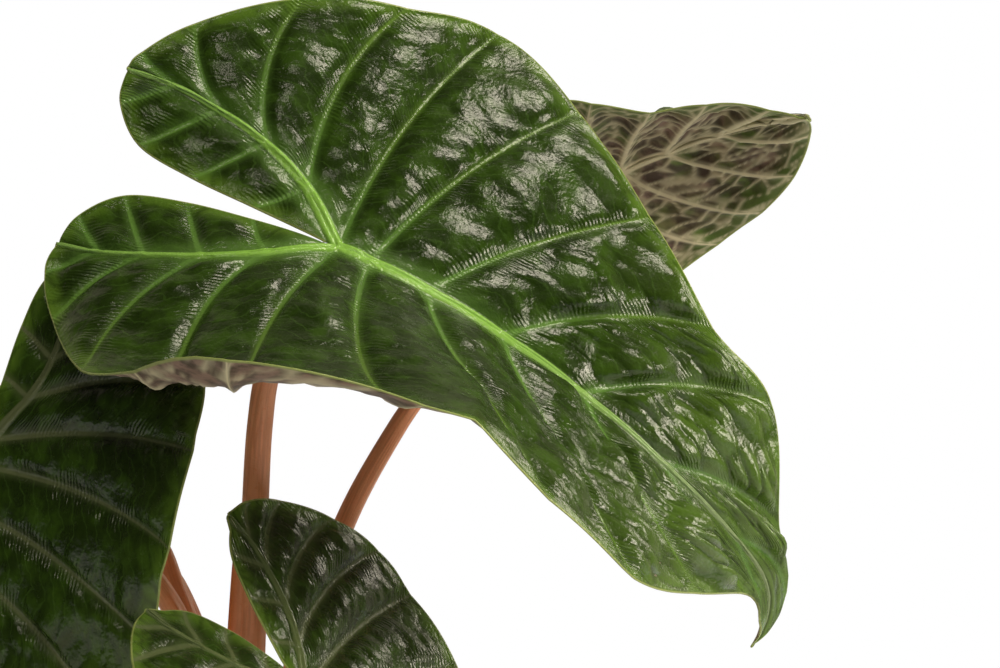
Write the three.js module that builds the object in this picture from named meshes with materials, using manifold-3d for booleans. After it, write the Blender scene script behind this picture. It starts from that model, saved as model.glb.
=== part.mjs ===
// Potted pink dragon alocasia: clay pot, soil, stem base, five leaf stalks and five arrow-shaped blades.
// Millimetres, +Z up; the middle of the pot's foot is the origin and the main blade faces -Y.
import * as THREE from 'three';
import Module from 'manifold-3d';

const wasm = await Module();
wasm.setup();

const V = (x, y, z) => new THREE.Vector3(x, y, z);
const deg = Math.PI / 180;
const seatGap = 0.35;

// Pot: a plain round flowerpot of fired clay
const potHeight = 145;
const potFootRadius = 46;
const potNeckRadius = 61;
const rimRadius = 70;
const rimHeight = 27;
const potWall = 6;
const potFloor = 9;
const drainRadius = 5;
const drainCircle = 24;
const drainHoles = 3;

// Soil and stem base
const soilTop = 134;
const soilCrown = 4;
const soilGrain = 1.6;
const stemRadius = 21;
const stemTop = 152;
const stemFoot = 104;
const stemRings = 4;

// Blade sheet
const bladeThickness = 1.0;
const ribDepth = 2.6;
const veinDepth = 0.7;
const curlWidth = 120;
const stepsAlong = 3;
const stepsAcross = 6;

// Veins of one half blade as parts of the blade's length, from the tip round to the end of the back lobe:
// where each leaves the midrib or the lobe's rib, where it meets the margin, and its bow
const veins = [
  { from: [1, 0], to: [1, 0], bow: 0 },
  { from: [0.76, 0], to: [0.93, 0.03], bow: 0.04 },
  { from: [0.57, 0], to: [0.83, 0.08], bow: 0.06 },
  { from: [0.4, 0], to: [0.69, 0.15], bow: 0.06 },
  { from: [0.26, 0], to: [0.53, 0.23], bow: 0.07 },
  { from: [0.14, 0], to: [0.37, 0.33], bow: 0.05 },
  { from: [0.05, 0], to: [0.2, 0.41], bow: 0.05 },
  { from: [0, 0], to: [0.03, 0.45], bow: 0.05 },
  { from: [-0.08, 0.07], to: [-0.09, 0.43], bow: 0.08 },
  { from: [-0.16, 0.11], to: [-0.21, 0.36], bow: 0.1 },
  { from: [-0.24, 0.13], to: [-0.32, 0.26], bow: 0.08 },
  { from: [-0.31, 0.14], to: [-0.37, 0.19], bow: 0.04 },
  { from: [-0.38, 0.14], to: [-0.38, 0.14], bow: 0 },
];
const jointVein = 7;

// Inner margin of the back lobe, opposite the last six places above
const sinus = [[-0.02, 0], [-0.13, 0.01], [-0.23, 0.02], [-0.32, 0.04], [-0.37, 0.09], [-0.38, 0.14]];

// Blades. joint: where the stalk meets the blade. heading, pitch, roll: the midrib's direction there.
// arch and droop bend it down along its length, hook and hookSide turn the tip, back bends the lobes.
// fold and curl: angle of each half from the midrib and its roll, at the lobes, the middle and the tip.
// parting: how far the back lobes stand apart. lobeLong: length of the left and right lobe.
// wave: height, count and phases of the margin's waves, left and right. puff: height of the pillows between
// veins. sag: a trough inside the right margin, from one vein to another, and its depth.
// trim: how far the margin of this blade stands out past the plain outline at each vein, from the tip round.
const blades = {
  a: {
    joint: V(41, -30, 393), heading: -15, pitch: -20, roll: 37, length: 300,
    arch: 90, droop: -20, hook: 25, hookSide: -62, back: 17, sway: 15, twist: 20, twistBack: -50,
    foldLeft: [15, 5, 10], foldRight: [0, 25, 5], curlLeft: [-5, -5, -5], curlRight: [-10, 25, -15],
    wide: 1, lobeLong: [1.02, 0.97], lobeWide: 1, parting: 0, wave: [3, 3, 0.2, 0.35], puff: 3.2,
    sag: [5.6, 9, 18],
    trimLeft: [0, 0.01, -0.01, 0.04, -0.02, -0.03, 0, 0.02, -0.02, -0.02, -0.02, -0.02, 0],
    trimRight: [0, 0, -0.03, -0.01, 0.03, -0.02, -0.01, 0.03, 0, 0, 0, 0, 0],
  },
  b: {
    joint: V(123, 100, 402), heading: -5, pitch: 25, roll: -65, length: 167,
    arch: 45, droop: 20, hook: 20, hookSide: -5, back: 20, sway: -18, twist: 5, twistBack: -20,
    foldLeft: [10, 0, 5], foldRight: [10, -25, -35], curlLeft: [-5, -5, -5], curlRight: [-5, -5, -10],
    wide: 0.9, lobeLong: [1, 1], lobeWide: 1, parting: 0, wave: [2.5, 4, 0.6, 0.4], puff: 2.6,
    trimLeft: [0, -0.02, 0.02, 0.07, 0.08, 0.04, 0, 0, 0, 0, 0, 0, 0],
    trimRight: [0, -0.02, -0.02, 0.03, 0.03, 0.03, 0, 0, 0, 0, 0, 0, 0],
  },
  c: {
    joint: V(-104, -25, 312), heading: -102, pitch: -77, roll: 5, length: 230,
    arch: 10, droop: 5, hook: 20, hookSide: 0, back: 20, sway: 5, twist: -25, twistBack: -10,
    foldLeft: [5, 15, 5], foldRight: [10, 10, 10], curlLeft: [0, 20, -5], curlRight: [-5, 0, -5],
    wide: 1.05, lobeLong: [0.9, 0.9], lobeWide: 1.05, parting: 0.15, wave: [2, 4, 0.1, 0.9], puff: 2.6,
  },
  d: {
    joint: V(30, -75, 215), heading: 0, pitch: -50, roll: 17, length: 205,
    arch: 15, droop: 10, hook: 20, hookSide: 0, back: 15, sway: 0, twist: 5, twistBack: -60,
    foldLeft: [10, 10, 10], foldRight: [-5, 15, 10], curlLeft: [-15, 5, -5], curlRight: [-5, 0, -5],
    wide: 1.1, lobeLong: [0.95, 0.9], lobeWide: 1, parting: 0.2, wave: [2, 3, 0.4, 0.6], puff: 2.4,
  },
  e: {
    joint: V(-108, 60, 314), heading: 155, pitch: 4, roll: 8, length: 172,
    arch: 58, droop: 20, hook: 20, hookSide: 10, back: 20, sway: 0, twist: 0, twistBack: 0,
    foldLeft: [12, 14, 8], foldRight: [12, 14, 8], curlLeft: [-5, -8, -5], curlRight: [-5, -8, -5],
    wide: 0.95, lobeLong: [0.95, 0.95], lobeWide: 1, parting: 0.1, wave: [2, 4, 0.3, 0.7], puff: 2.2,
  },
};

// Stalks: centre line from the stem base up to just under the joint, radius at foot, middle and top.
// wing: the free edge of the sheath, its side, its height and the part of the stalk it runs along.
const stalks = {
  a: { line: [[1, 0, 190], [3, -3, 235], [5, -8, 284], [7.5, -13, 318], [12, -18, 342], [24, -23, 367]],
    foot: [0, 0], radius: [6.6, 5.4, 4.5], wing: { side: V(-1, -0.25, 0), height: 4.6, until: 0.37 } },
  b: { line: [[16, 11, 190], [27, 20, 232], [43, 32, 274], [63, 47, 309], [79, 62, 331], [102, 84, 366]],
    foot: [11.5, 8.5], radius: [6.2, 4.2, 3.6], wing: { side: V(-0.4, 1, 0), height: 3.6, until: 0.4 } },
  c: { line: [[-17, -6, 190], [-25, -8, 226], [-38, -10, 251], [-62, -11, 277], [-86, -12, 300]],
    foot: [-13.5, -4.5], radius: [6, 4.4, 3.4], wing: { side: V(0.5, -1, 0), height: 3.2, until: 0.4 } },
  d: { line: [[7, -24, 178], [11, -42, 204], [16, -58, 220]],
    foot: [4.5, -13.8], radius: [6, 4, 3.2], wing: { side: V(1, 0.3, 0), height: 3, until: 0.4 } },
  e: { line: [[-15, 13, 190], [-23, 16, 218], [-32, 20, 243], [-40, 24, 262], [-60, 35, 286], [-84, 49, 300]],
    foot: [-9.5, 10.5], radius: [6, 4.2, 3.2], wing: { side: V(1, 0.6, 0), height: 3.2, until: 0.4 } },
};

const colours = { pot: 0xb5683f, soil: 0x3a2b20, stem: 0x7d6247, blade: 0x2c4a1e, stalk: 0xc27a5c };

// Small repeatable scatter from -1 to 1
function scatter(i, j) {
  const value = Math.sin(i * 12.9898 + j * 78.233) * 43758.5453;
  return 2 * (value - Math.floor(value)) - 1;
}

function spline(points, u) {
  const last = points.length - 1;
  const i = Math.min(Math.floor(u), last - 1);
  const t = u - i;
  const at = (k, axis) => points[k][axis];
  return points[0].map((_, axis) => {
    const p1 = at(i, axis);
    const p2 = at(i + 1, axis);
    const p0 = i > 0 ? at(i - 1, axis) : 2 * p1 - p2;
    const p3 = i + 2 <= last ? at(i + 2, axis) : 2 * p2 - p1;
    return 0.5 * (2 * p1 + (p2 - p0) * t + (2 * p0 - 5 * p1 + 4 * p2 - p3) * t * t
      + (3 * p1 - p0 - 3 * p2 + p3) * t * t * t);
  });
}

function namedMesh(name, positions, triangles, colour, flatShading = false) {
  const geometry = new THREE.BufferGeometry();
  geometry.setAttribute('position', new THREE.Float32BufferAttribute(positions, 3));
  geometry.setIndex(triangles);
  geometry.computeVertexNormals();
  const material = new THREE.MeshStandardMaterial({ color: colour, roughness: 0.6, flatShading });
  const mesh = new THREE.Mesh(geometry, material);
  mesh.name = name;
  return mesh;
}

// Closed body of revolution about Z; profile runs from the axis at the bottom, outside, to the axis at the top
function revolve(profile, segments, shift = () => 0) {
  const positions = [];
  const triangles = [];
  const rows = profile.map(([r, z], row) => {
    const count = r === 0 ? 1 : segments;
    return Array.from({ length: count }, (_, k) => {
      const angle = (2 * Math.PI * k) / segments;
      positions.push(r * Math.cos(angle), r * Math.sin(angle), z + shift(row, k));
      return positions.length / 3 - 1;
    });
  });
  for (let row = 0; row + 1 < rows.length; row += 1) {
    for (let k = 0; k < segments; k += 1) {
      const low = rows[row];
      const high = rows[row + 1];
      const next = (k + 1) % segments;
      if (low.length === 1) triangles.push(low[0], high[next], high[k]);
      else if (high.length === 1) triangles.push(low[k], low[next], high[0]);
      else triangles.push(low[k], low[next], high[next], low[k], high[next], high[k]);
    }
  }
  return { positions, triangles };
}

const solid = ({ positions, triangles }) => new wasm.Manifold(new wasm.Mesh({
  numProp: 3, vertProperties: new Float32Array(positions), triVerts: new Uint32Array(triangles),
}));

function meshFrom(name, body, colour) {
  const result = body.getMesh();
  const positions = [];
  for (let i = 0; i < result.numVert; i += 1) {
    for (let k = 0; k < 3; k += 1) positions.push(result.vertProperties[i * result.numProp + k]);
  }
  return namedMesh(name, positions, Array.from(result.triVerts), colour);
}

// Direction and place of the midrib at even steps, and behind the joint for the back lobes
function midribFrames(pose) {
  const steps = 40;
  const along = V(Math.cos(pose.heading * deg) * Math.cos(pose.pitch * deg),
    Math.sin(pose.heading * deg) * Math.cos(pose.pitch * deg), Math.sin(pose.pitch * deg));
  const side = V(-Math.sin(pose.heading * deg), Math.cos(pose.heading * deg), 0)
    .applyAxisAngle(along, pose.roll * deg);
  const start = { place: pose.joint.clone(), along, side, up: along.clone().cross(side) };
  const turn = (frame, axis, angle) => {
    const about = frame[axis].clone();
    for (const key of ['along', 'side', 'up']) frame[key].applyAxisAngle(about, angle);
  };
  const walk = (sign, count) => {
    const frames = [];
    let frame = start;
    for (let i = 0; i < count; i += 1) {
      const a = (i + 0.5) / steps;
      const near = Math.min(Math.max((a - 0.8) / 0.2, 0), 1) * 10;
      frame = Object.fromEntries(Object.entries(frame).map(([key, value]) => [key, value.clone()]));
      if (sign > 0) {
        turn(frame, 'side', ((pose.arch + 2 * pose.droop * a + pose.hook * near) * deg) / steps);
        turn(frame, 'up', ((pose.sway + pose.hookSide * near) * deg) / steps);
        turn(frame, 'along', (pose.twist * deg) / steps);
      } else {
        turn(frame, 'side', (-pose.back * deg) / steps);
        turn(frame, 'along', (-pose.twistBack * deg) / steps);
      }
      frame.place.addScaledVector(frame.along, (sign * pose.length) / steps);
      frames.push(frame);
    }
    return frames;
  };
  const behind = walk(-1, 24).reverse();
  return { frames: [...behind, start, ...walk(1, 43)], first: -behind.length / steps, steps };
}

// Place of a point of the flat blade (parts of its length, left is positive) on the bent blade
function bladePoint(rib, pose, a, b) {
  const index = Math.min(Math.max((a - rib.first) * rib.steps, 0), rib.frames.length - 1.001);
  const low = rib.frames[Math.floor(index)];
  const high = rib.frames[Math.floor(index) + 1];
  const t = index - Math.floor(index);
  const mix = (key) => low[key].clone().lerp(high[key], t);
  const left = b >= 0;
  const at = (three) => (a < 0.25
    ? THREE.MathUtils.lerp(three[0], three[1], THREE.MathUtils.clamp((a + 0.4) / 0.65, 0, 1))
    : THREE.MathUtils.lerp(three[1], three[2], Math.min((a - 0.25) / 0.75, 1)));
  const fold = at(left ? pose.foldLeft : pose.foldRight) * deg;
  let curl = at(left ? pose.curlLeft : pose.curlRight) * deg;
  if (Math.abs(curl) < 0.001) curl = 0.001;
  const x = (Math.abs(b) * pose.length) / curlWidth;
  const out = (curlWidth / curl) * (Math.sin(fold + curl * x) - Math.sin(fold));
  const lift = (curlWidth / curl) * (Math.cos(fold) - Math.cos(fold + curl * x));
  return mix('place').addScaledVector(mix('side'), left ? out : -out).addScaledVector(mix('up'), lift);
}

// Flat place of a point of a half blade: u counts veins from the tip, t runs from rib to margin
function flatPoint(pose, left, u, t) {
  const trim = (left ? pose.trimLeft : pose.trimRight) ?? veins.map(() => 0);
  const foot = u <= jointVein
    ? [THREE.MathUtils.lerp(veins[Math.floor(u)].from[0], veins[Math.floor(u) + 1].from[0], u % 1), 0]
    : spline(veins.slice(jointVein).map((vein) => vein.from), u - jointVein);
  const edge = spline(veins.map((vein, i) => [vein.to[0], vein.to[1] + trim[i]]), u);
  const bow = spline(veins.map((vein) => [vein.bow]), u)[0];
  return curved(pose, left, foot, edge, bow, t);
}

// Between the lobe's rib and the inner margin
function sinusPoint(pose, left, u, t) {
  const foot = spline(veins.slice(jointVein).map((vein) => vein.from), u);
  const [a, b] = spline(sinus, u);
  const open = pose.parting * Math.max(0, -a - 0.08) * Math.min(1, (5 - u) / 1.5);
  return curved(pose, left, foot, [a, b + open], 0, t);
}

function curved(pose, left, foot, edge, bow, t) {
  const da = edge[0] - foot[0];
  const db = edge[1] - foot[1];
  const bend = 4 * bow * t * (1 - t);
  const a = foot[0] + da * t - db * bend;
  const b = foot[1] + db * t + da * bend;
  const lobe = THREE.MathUtils.clamp(-a / 0.12, 0, 1);
  const long = 1 + (pose.lobeLong[left ? 0 : 1] - 1) * lobe;
  const broad = 1 + (pose.lobeWide - 1) * lobe;
  return [a * long, b * pose.wide * broad];
}

// One sheet of the blade as vertices and triangles, with pillows between sunken veins and a waved margin
function bladeSheet(pose) {
  const rib = midribFrames(pose);
  const sheet = { points: [], relief: [], thick: [], triangles: [], seen: new Map() };
  const vertex = (a, b, relief, thick) => {
    const key = [a, b].map((value) => Math.round(value * 1e5)).join(' ');
    if (!sheet.seen.has(key)) {
      sheet.seen.set(key, sheet.points.length);
      sheet.points.push(bladePoint(rib, pose, a, b));
      sheet.relief.push(relief);
      sheet.thick.push(thick);
    }
    return sheet.seen.get(key);
  };
  const grid = (rows, across, facing, make) => {
    const ids = Array.from({ length: rows + 1 }, (_, i) => Array.from({ length: across + 1 },
      (_, j) => vertex(...make(i, j / across))));
    for (let i = 0; i < rows; i += 1) {
      for (let j = 0; j < across; j += 1) {
        const quad = [ids[i][j], ids[i + 1][j], ids[i + 1][j + 1], ids[i][j + 1]];
        if (facing > 0) quad.reverse();
        for (const [p, q, r] of [[0, 1, 2], [0, 2, 3]]) {
          const tri = [quad[p], quad[q], quad[r]];
          if (new Set(tri).size === 3) sheet.triangles.push(...tri);
        }
      }
    }
  };
  const [waveHeight, waveCount, ...wavePhase] = pose.wave;
  const [sagFrom, sagTo, sagDepth] = pose.sag ?? [0, 1, 0];
  const last = veins.length - 1;
  for (const left of [true, false]) {
    const sign = left ? 1 : -1;
    grid(last * stepsAlong, stepsAcross, sign, (i, t) => {
      const u = i / stepsAlong;
      const [a, b] = flatPoint(pose, left, u, t);
      const between = Math.sin(Math.PI * (u % 1));
      const ends = Math.sin(Math.PI * Math.min(u / last, 1)) ** 0.6;
      const puff = pose.puff * between * Math.sin(Math.PI * Math.min(t * 0.85 + 0.06, 1)) ** 0.8;
      const swing = Math.sin(2 * Math.PI * ((waveCount * u) / last + wavePhase[left ? 0 : 1]));
      const sagPart = (u - sagFrom) / (sagTo - sagFrom);
      const within = left || sagPart < 0 || sagPart > 1 ? 0 : Math.sin(Math.PI * sagPart);
      const wave = waveHeight * ends * t ** 3 * swing - sagDepth * within * Math.sin(Math.PI * t ** 2.2);
      const onVein = i % stepsAlong === 0 ? veinDepth * (1 - t) : 0;
      const rise = t === 0 ? ribDepth * (0.25 + 0.75 * Math.min(u / jointVein, 1)) : onVein;
      return [a, b * sign, (puff * ends + wave) * (t > 0 ? 1 : 0), bladeThickness + rise * ends];
    });
    const lobeRows = last - jointVein;
    grid(lobeRows * stepsAlong, 3, -sign, (i, t) => {
      const u = i / stepsAlong;
      const [a, b] = sinusPoint(pose, left, u, t);
      const puff = u > 0 && u < lobeRows ? 0.4 * pose.puff * Math.sin(Math.PI * t) : 0;
      const rise = t === 0 ? ribDepth * Math.sin(Math.PI * Math.min((u + jointVein) / last, 1)) ** 0.6 : 0;
      return [a, b * sign, puff, bladeThickness + rise];
    });
  }
  return sheet;
}

function pointNormals(points, triangles) {
  const normals = points.map(() => V(0, 0, 0));
  for (let i = 0; i < triangles.length; i += 3) {
    const [p, q, r] = triangles.slice(i, i + 3).map((k) => points[k]);
    const face = q.clone().sub(p).cross(r.clone().sub(p));
    for (let k = 0; k < 3; k += 1) normals[triangles[i + k]].add(face);
  }
  return normals.map((normal) => normal.normalize());
}

// Blade body: the sheet, the same sheet below it, and a wall round the margin
function blade(name, pose) {
  const { points, relief, thick, triangles } = bladeSheet(pose);
  const smooth = pointNormals(points, triangles);
  const top = points.map((point, i) => point.clone().addScaledVector(smooth[i], relief[i]));
  const normals = pointNormals(top, triangles);
  const bottom = top.map((point, i) => point.clone().addScaledVector(normals[i], -thick[i]));
  const count = top.length;
  const all = [...triangles];
  const edges = new Map();
  for (let i = 0; i < triangles.length; i += 3) {
    const tri = triangles.slice(i, i + 3);
    all.push(tri[0] + count, tri[2] + count, tri[1] + count);
    tri.forEach((from, k) => edges.set(`${from} ${tri[(k + 1) % 3]}`, [from, tri[(k + 1) % 3]]));
  }
  for (const [from, to] of edges.values()) {
    if (!edges.has(`${to} ${from}`)) all.push(from, from + count, to + count, from, to + count, to);
  }
  return namedMesh(name, [...top, ...bottom].flatMap((point) => point.toArray()), all, colours.blade);
}

// Stalk body: rings along a smooth line, its last ring parallel to the blade above it
function stalk(name, shape, pose) {
  const rings = 18;
  const jointFrame = midribFrames(pose).frames[24];
  const drop = bladeThickness + ribDepth + seatGap;
  const end = pose.joint.clone().addScaledVector(jointFrame.up, -drop);
  const neck = end.clone().addScaledVector(jointFrame.up, -7);
  const foot = [shape.foot[0], shape.foot[1], stemTop + seatGap];
  const line = [foot, ...shape.line, neck.toArray(), end.toArray()];
  const spans = line.length - 1;
  const centre = (k) => V(...spline(line, (k / rings) * spans));
  const angles = [-180, -150, -120, -90, -60, -38, -20, -8, 0, 8, 20, 38, 60, 90, 120, 150];
  const positions = [];
  const triangles = [];
  for (let k = 0; k <= rings; k += 1) {
    const place = centre(k);
    let ahead = centre(Math.min(k + 0.5, rings)).sub(centre(Math.max(k - 0.5, 0))).normalize();
    if (k === 0) ahead = V(0, 0, 1);
    if (k === rings) ahead = jointFrame.up.clone();
    const wingSide = shape.wing.side.clone().addScaledVector(ahead, -shape.wing.side.dot(ahead)).normalize();
    const across = ahead.clone().cross(wingSide);
    const part = k / rings;
    const radius = spline(shape.radius.map((r) => [r]), part * 2)[0];
    const open = Math.sqrt(Math.max(0, Math.sin(Math.PI * Math.min(part / shape.wing.until, 1))));
    for (const angle of angles) {
      const fin = Math.abs(angle) < 30 ? (1 - Math.abs(angle) / 30) ** 1.3 : 0;
      const reach = radius + shape.wing.height * open * fin;
      const spot = place.clone().addScaledVector(wingSide, reach * Math.cos(angle * deg))
        .addScaledVector(across, reach * Math.sin(angle * deg));
      positions.push(...spot.toArray());
    }
  }
  const n = angles.length;
  for (let k = 0; k < rings; k += 1) {
    for (let j = 0; j < n; j += 1) {
      const next = (j + 1) % n;
      const [p, q, r, s] = [k * n + j, k * n + next, (k + 1) * n + next, (k + 1) * n + j];
      triangles.push(p, q, r, p, r, s);
    }
  }
  for (const [k, out] of [[0, -1], [rings, 1]]) {
    const middle = positions.length / 3;
    positions.push(...centre(k).toArray());
    for (let j = 0; j < n; j += 1) {
      const pair = [k * n + j, k * n + ((j + 1) % n)];
      triangles.push(middle, ...(out > 0 ? pair : pair.reverse()));
    }
  }
  return namedMesh(name, positions, triangles, colours.stalk);
}

function pot() {
  const insideTop = rimRadius - 8;
  const outer = revolve([
    [0, 0], [potFootRadius - 2, 0], [potFootRadius, 2],
    [potNeckRadius, potHeight - rimHeight - 3], [potNeckRadius, potHeight - rimHeight],
    [rimRadius - 3, potHeight - rimHeight], [rimRadius - 1.5, potHeight - rimHeight + 2],
    [rimRadius, potHeight - 3], [rimRadius - 2, potHeight], [insideTop + 2, potHeight],
    [insideTop, potHeight - 3], [potNeckRadius - potWall, potHeight - rimHeight - 4],
    [potFootRadius - potWall + 1, potFloor + 3], [potFootRadius - potWall - 2, potFloor], [0, potFloor],
  ], 44);
  let body = solid(outer);
  for (let k = 0; k < drainHoles; k += 1) {
    const angle = (2 * Math.PI * (k + 0.25)) / drainHoles;
    const drill = revolve([[0, -1], [drainRadius, -1], [drainRadius, potFloor + 2], [0, potFloor + 2]], 16);
    for (let i = 0; i < drill.positions.length; i += 3) {
      drill.positions[i] += drainCircle * Math.cos(angle);
      drill.positions[i + 1] += drainCircle * Math.sin(angle);
    }
    body = body.subtract(solid(drill));
  }
  return meshFrom('pot', body, colours.pot);
}

// Soil fills the pot to below its rim; a plain hole takes the stem base
function soil() {
  const inside = (z) => {
    const low = potFloor + 3;
    const high = potHeight - rimHeight - 4;
    const [r0, r1] = [potFootRadius - potWall + 1, potNeckRadius - potWall];
    const rise = (z - high) / (potHeight - 3 - high);
    return z < high ? r0 + ((r1 - r0) * (z - low)) / (high - low) : r1 + (rimRadius - 8 - r1) * rise;
  };
  const hole = stemRadius + seatGap;
  const edge = inside(soilTop - 3) - seatGap - 0.2;
  const rows = [[0, potFloor + seatGap], [potFootRadius - potWall - 3, potFloor + seatGap],
    [inside(potFloor + 4) - seatGap - 0.6, potFloor + 4],
    [inside(potHeight - rimHeight - 4) - seatGap - 0.2, potHeight - rimHeight - 4], [edge, soilTop - 3]];
  const firstRough = rows.length;
  const bands = 5;
  for (let k = 0; k < bands; k += 1) {
    const r = edge - 2 - ((edge - 4 - hole) * k) / (bands - 1);
    rows.push([r, soilTop + soilCrown * (1 - r / edge)]);
  }
  const holeTop = rows.length;
  rows.push([hole, soilTop + soilCrown * 0.6], [hole, stemFoot - seatGap], [0, stemFoot - seatGap]);
  const grain = (row, k) => (row >= firstRough && row < holeTop ? soilGrain * scatter(row, k) : 0);
  const { positions, triangles } = revolve(rows, 40, grain);
  return namedMesh('soil', positions, triangles, colours.soil, true);
}

// Short ringed rootstock the stalks stand on
function stemBase() {
  const rows = [[0, stemFoot], [stemRadius - 5, stemFoot], [stemRadius - 1, stemFoot + 4]];
  const low = soilTop - 6;
  const height = (stemTop - 2 - low) / stemRings;
  for (let k = 0; k < stemRings; k += 1) {
    const radius = stemRadius - 0.4 * k;
    rows.push([radius - 0.2, low + height * k], [radius - 1.4, low + height * (k + 0.75)]);
  }
  rows.push([stemRadius - 2.5, stemTop - 1.5], [stemRadius - 4, stemTop], [0, stemTop]);
  const { positions, triangles } = revolve(rows, 32);
  return namedMesh('stem_base', positions, triangles, colours.stem);
}

const group = new THREE.Group();
group.name = 'potted_alocasia';
group.add(pot(), soil(), stemBase());
for (const key of Object.keys(blades)) {
  group.add(stalk(`stalk_${key}`, stalks[key], blades[key]), blade(`blade_${key}`, blades[key]));
}

export default group;
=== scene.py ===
"""Potted pink dragon alocasia: the looks of its five leaves, their stalks, the stem base, soil and clay pot.

The frame gives every piece its place. Lengths are millimetres inside the shape functions and
become metres where a mesh is made.
"""

import math

import bmesh
import bpy
import numpy as np
from mathutils import Matrix, Vector
from mathutils.kdtree import KDTree


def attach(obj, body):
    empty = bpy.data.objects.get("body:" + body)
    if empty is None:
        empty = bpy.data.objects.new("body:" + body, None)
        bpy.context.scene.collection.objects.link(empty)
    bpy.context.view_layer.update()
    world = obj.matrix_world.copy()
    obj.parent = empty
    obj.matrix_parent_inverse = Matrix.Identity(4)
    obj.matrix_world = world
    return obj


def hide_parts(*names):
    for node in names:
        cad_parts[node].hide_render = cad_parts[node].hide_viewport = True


bl_info = {
    "name": "Potted Alocasia",
    "version": (1, 0, 0),
    "blender": (4, 5, 0),
    "location": "3D View > Sidebar > Alocasia",
    "description": "Makes a potted alocasia with glossy, deeply veined leaves around its packed frame",
    "category": "Add Mesh",
}

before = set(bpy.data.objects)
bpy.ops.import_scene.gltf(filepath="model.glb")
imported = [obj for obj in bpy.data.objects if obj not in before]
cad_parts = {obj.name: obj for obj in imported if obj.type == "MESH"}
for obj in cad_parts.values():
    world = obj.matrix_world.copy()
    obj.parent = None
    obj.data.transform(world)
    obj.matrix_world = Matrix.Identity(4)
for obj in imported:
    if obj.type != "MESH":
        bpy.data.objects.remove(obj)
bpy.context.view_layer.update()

MM = 0.001
BODY = "root"

# The photograph's camera
CAMERA_TARGET = (0.108, 0.0, 0.354)
CAMERA_ELEVATION = 5.0
CAMERA_DISTANCE = 1.5
CAMERA_LENS = 128.0

# Pot, soil and stem base, as in the frame
POT_HEIGHT = 145
POT_FOOT_RADIUS = 46
POT_NECK_RADIUS = 61
RIM_RADIUS = 70
RIM_HEIGHT = 27
POT_WALL = 6
POT_LIP = 8
POT_FLOOR = 9
DRAIN_RADIUS = 5
DRAIN_CIRCLE = 24
DRAIN_HOLES = 3
SOIL_TOP = 134
SOIL_CROWN = 4
STEM_RADIUS = 21
STEM_TOP = 152
STEM_FOOT = 104
STEM_RINGS = 4
STEM_RING = ((0, 0), (0.12, 0.1), (0.3, 0.35), (0.55, 0.7), (0.75, 1.2), (0.85, 1.5), (0.95, 1.1))
SEAT_GAP = 0.35

# Blade sheet
RIB_DEPTH = 2.6
CAD_THICKNESS = 1.0
MARGIN_BULGE = 0.3
CURL_WIDTH = 120
MIDRIB_STEPS = 40
LOBE_STEPS = 24

# Hook of the tip: where it starts, and how many times sharper than an even bend its last step turns
HOOK_START = 0.8
HOOK_SHARE = 10

# Parts of the blade's length at which fold and curl are given, besides the tip
LOBE_END = -0.4
BLADE_MIDDLE = 0.25

# Relief of a fully grown blade: pillows and lumps by size and height, ribs, veins and creases
PILLOW_SIZE = 13.5
PILLOW_HEIGHT = 1.8
CREASE_PART = 0.36
LUMP_SIZE = 24
LUMP_HEIGHT = 2.0
SMALL_LUMP_SIZE = 7
SMALL_LUMP_HEIGHT = 0.3
RIB_HEIGHT = 1.9
VALLEY_DEPTH = 1.7
CORD_HEIGHT = 0.5
UNDER_VEIN_HEIGHT = 1.25
UNDER_NET_HEIGHT = 0.6
EVENING_PASSES = 24

# Veins of one half blade as parts of the blade's length, from the tip round to the end of the back
# lobe: where each leaves the midrib or the lobe's rib, where it meets the margin, and its bow
VEINS = [
    ((1.0, 0.0), (1.0, 0.0), 0.0),
    ((0.76, 0.0), (0.93, 0.03), 0.04),
    ((0.57, 0.0), (0.83, 0.08), 0.06),
    ((0.4, 0.0), (0.69, 0.15), 0.06),
    ((0.26, 0.0), (0.53, 0.23), 0.07),
    ((0.14, 0.0), (0.37, 0.33), 0.05),
    ((0.05, 0.0), (0.2, 0.41), 0.05),
    ((0.0, 0.0), (0.03, 0.45), 0.05),
    ((-0.08, 0.07), (-0.09, 0.43), 0.08),
    ((-0.16, 0.11), (-0.21, 0.36), 0.1),
    ((-0.24, 0.13), (-0.32, 0.26), 0.08),
    ((-0.31, 0.14), (-0.37, 0.19), 0.04),
    ((-0.38, 0.14), (-0.38, 0.14), 0.0),
]
LAST_VEIN = len(VEINS) - 1
JOINT_VEIN = 7
SINUS = [(-0.02, 0), (-0.13, 0.01), (-0.23, 0.02), (-0.32, 0.04), (-0.37, 0.09), (-0.38, 0.14)]

PLAIN_MARGIN = ((0,) * len(VEINS), (0,) * len(VEINS))

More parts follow.
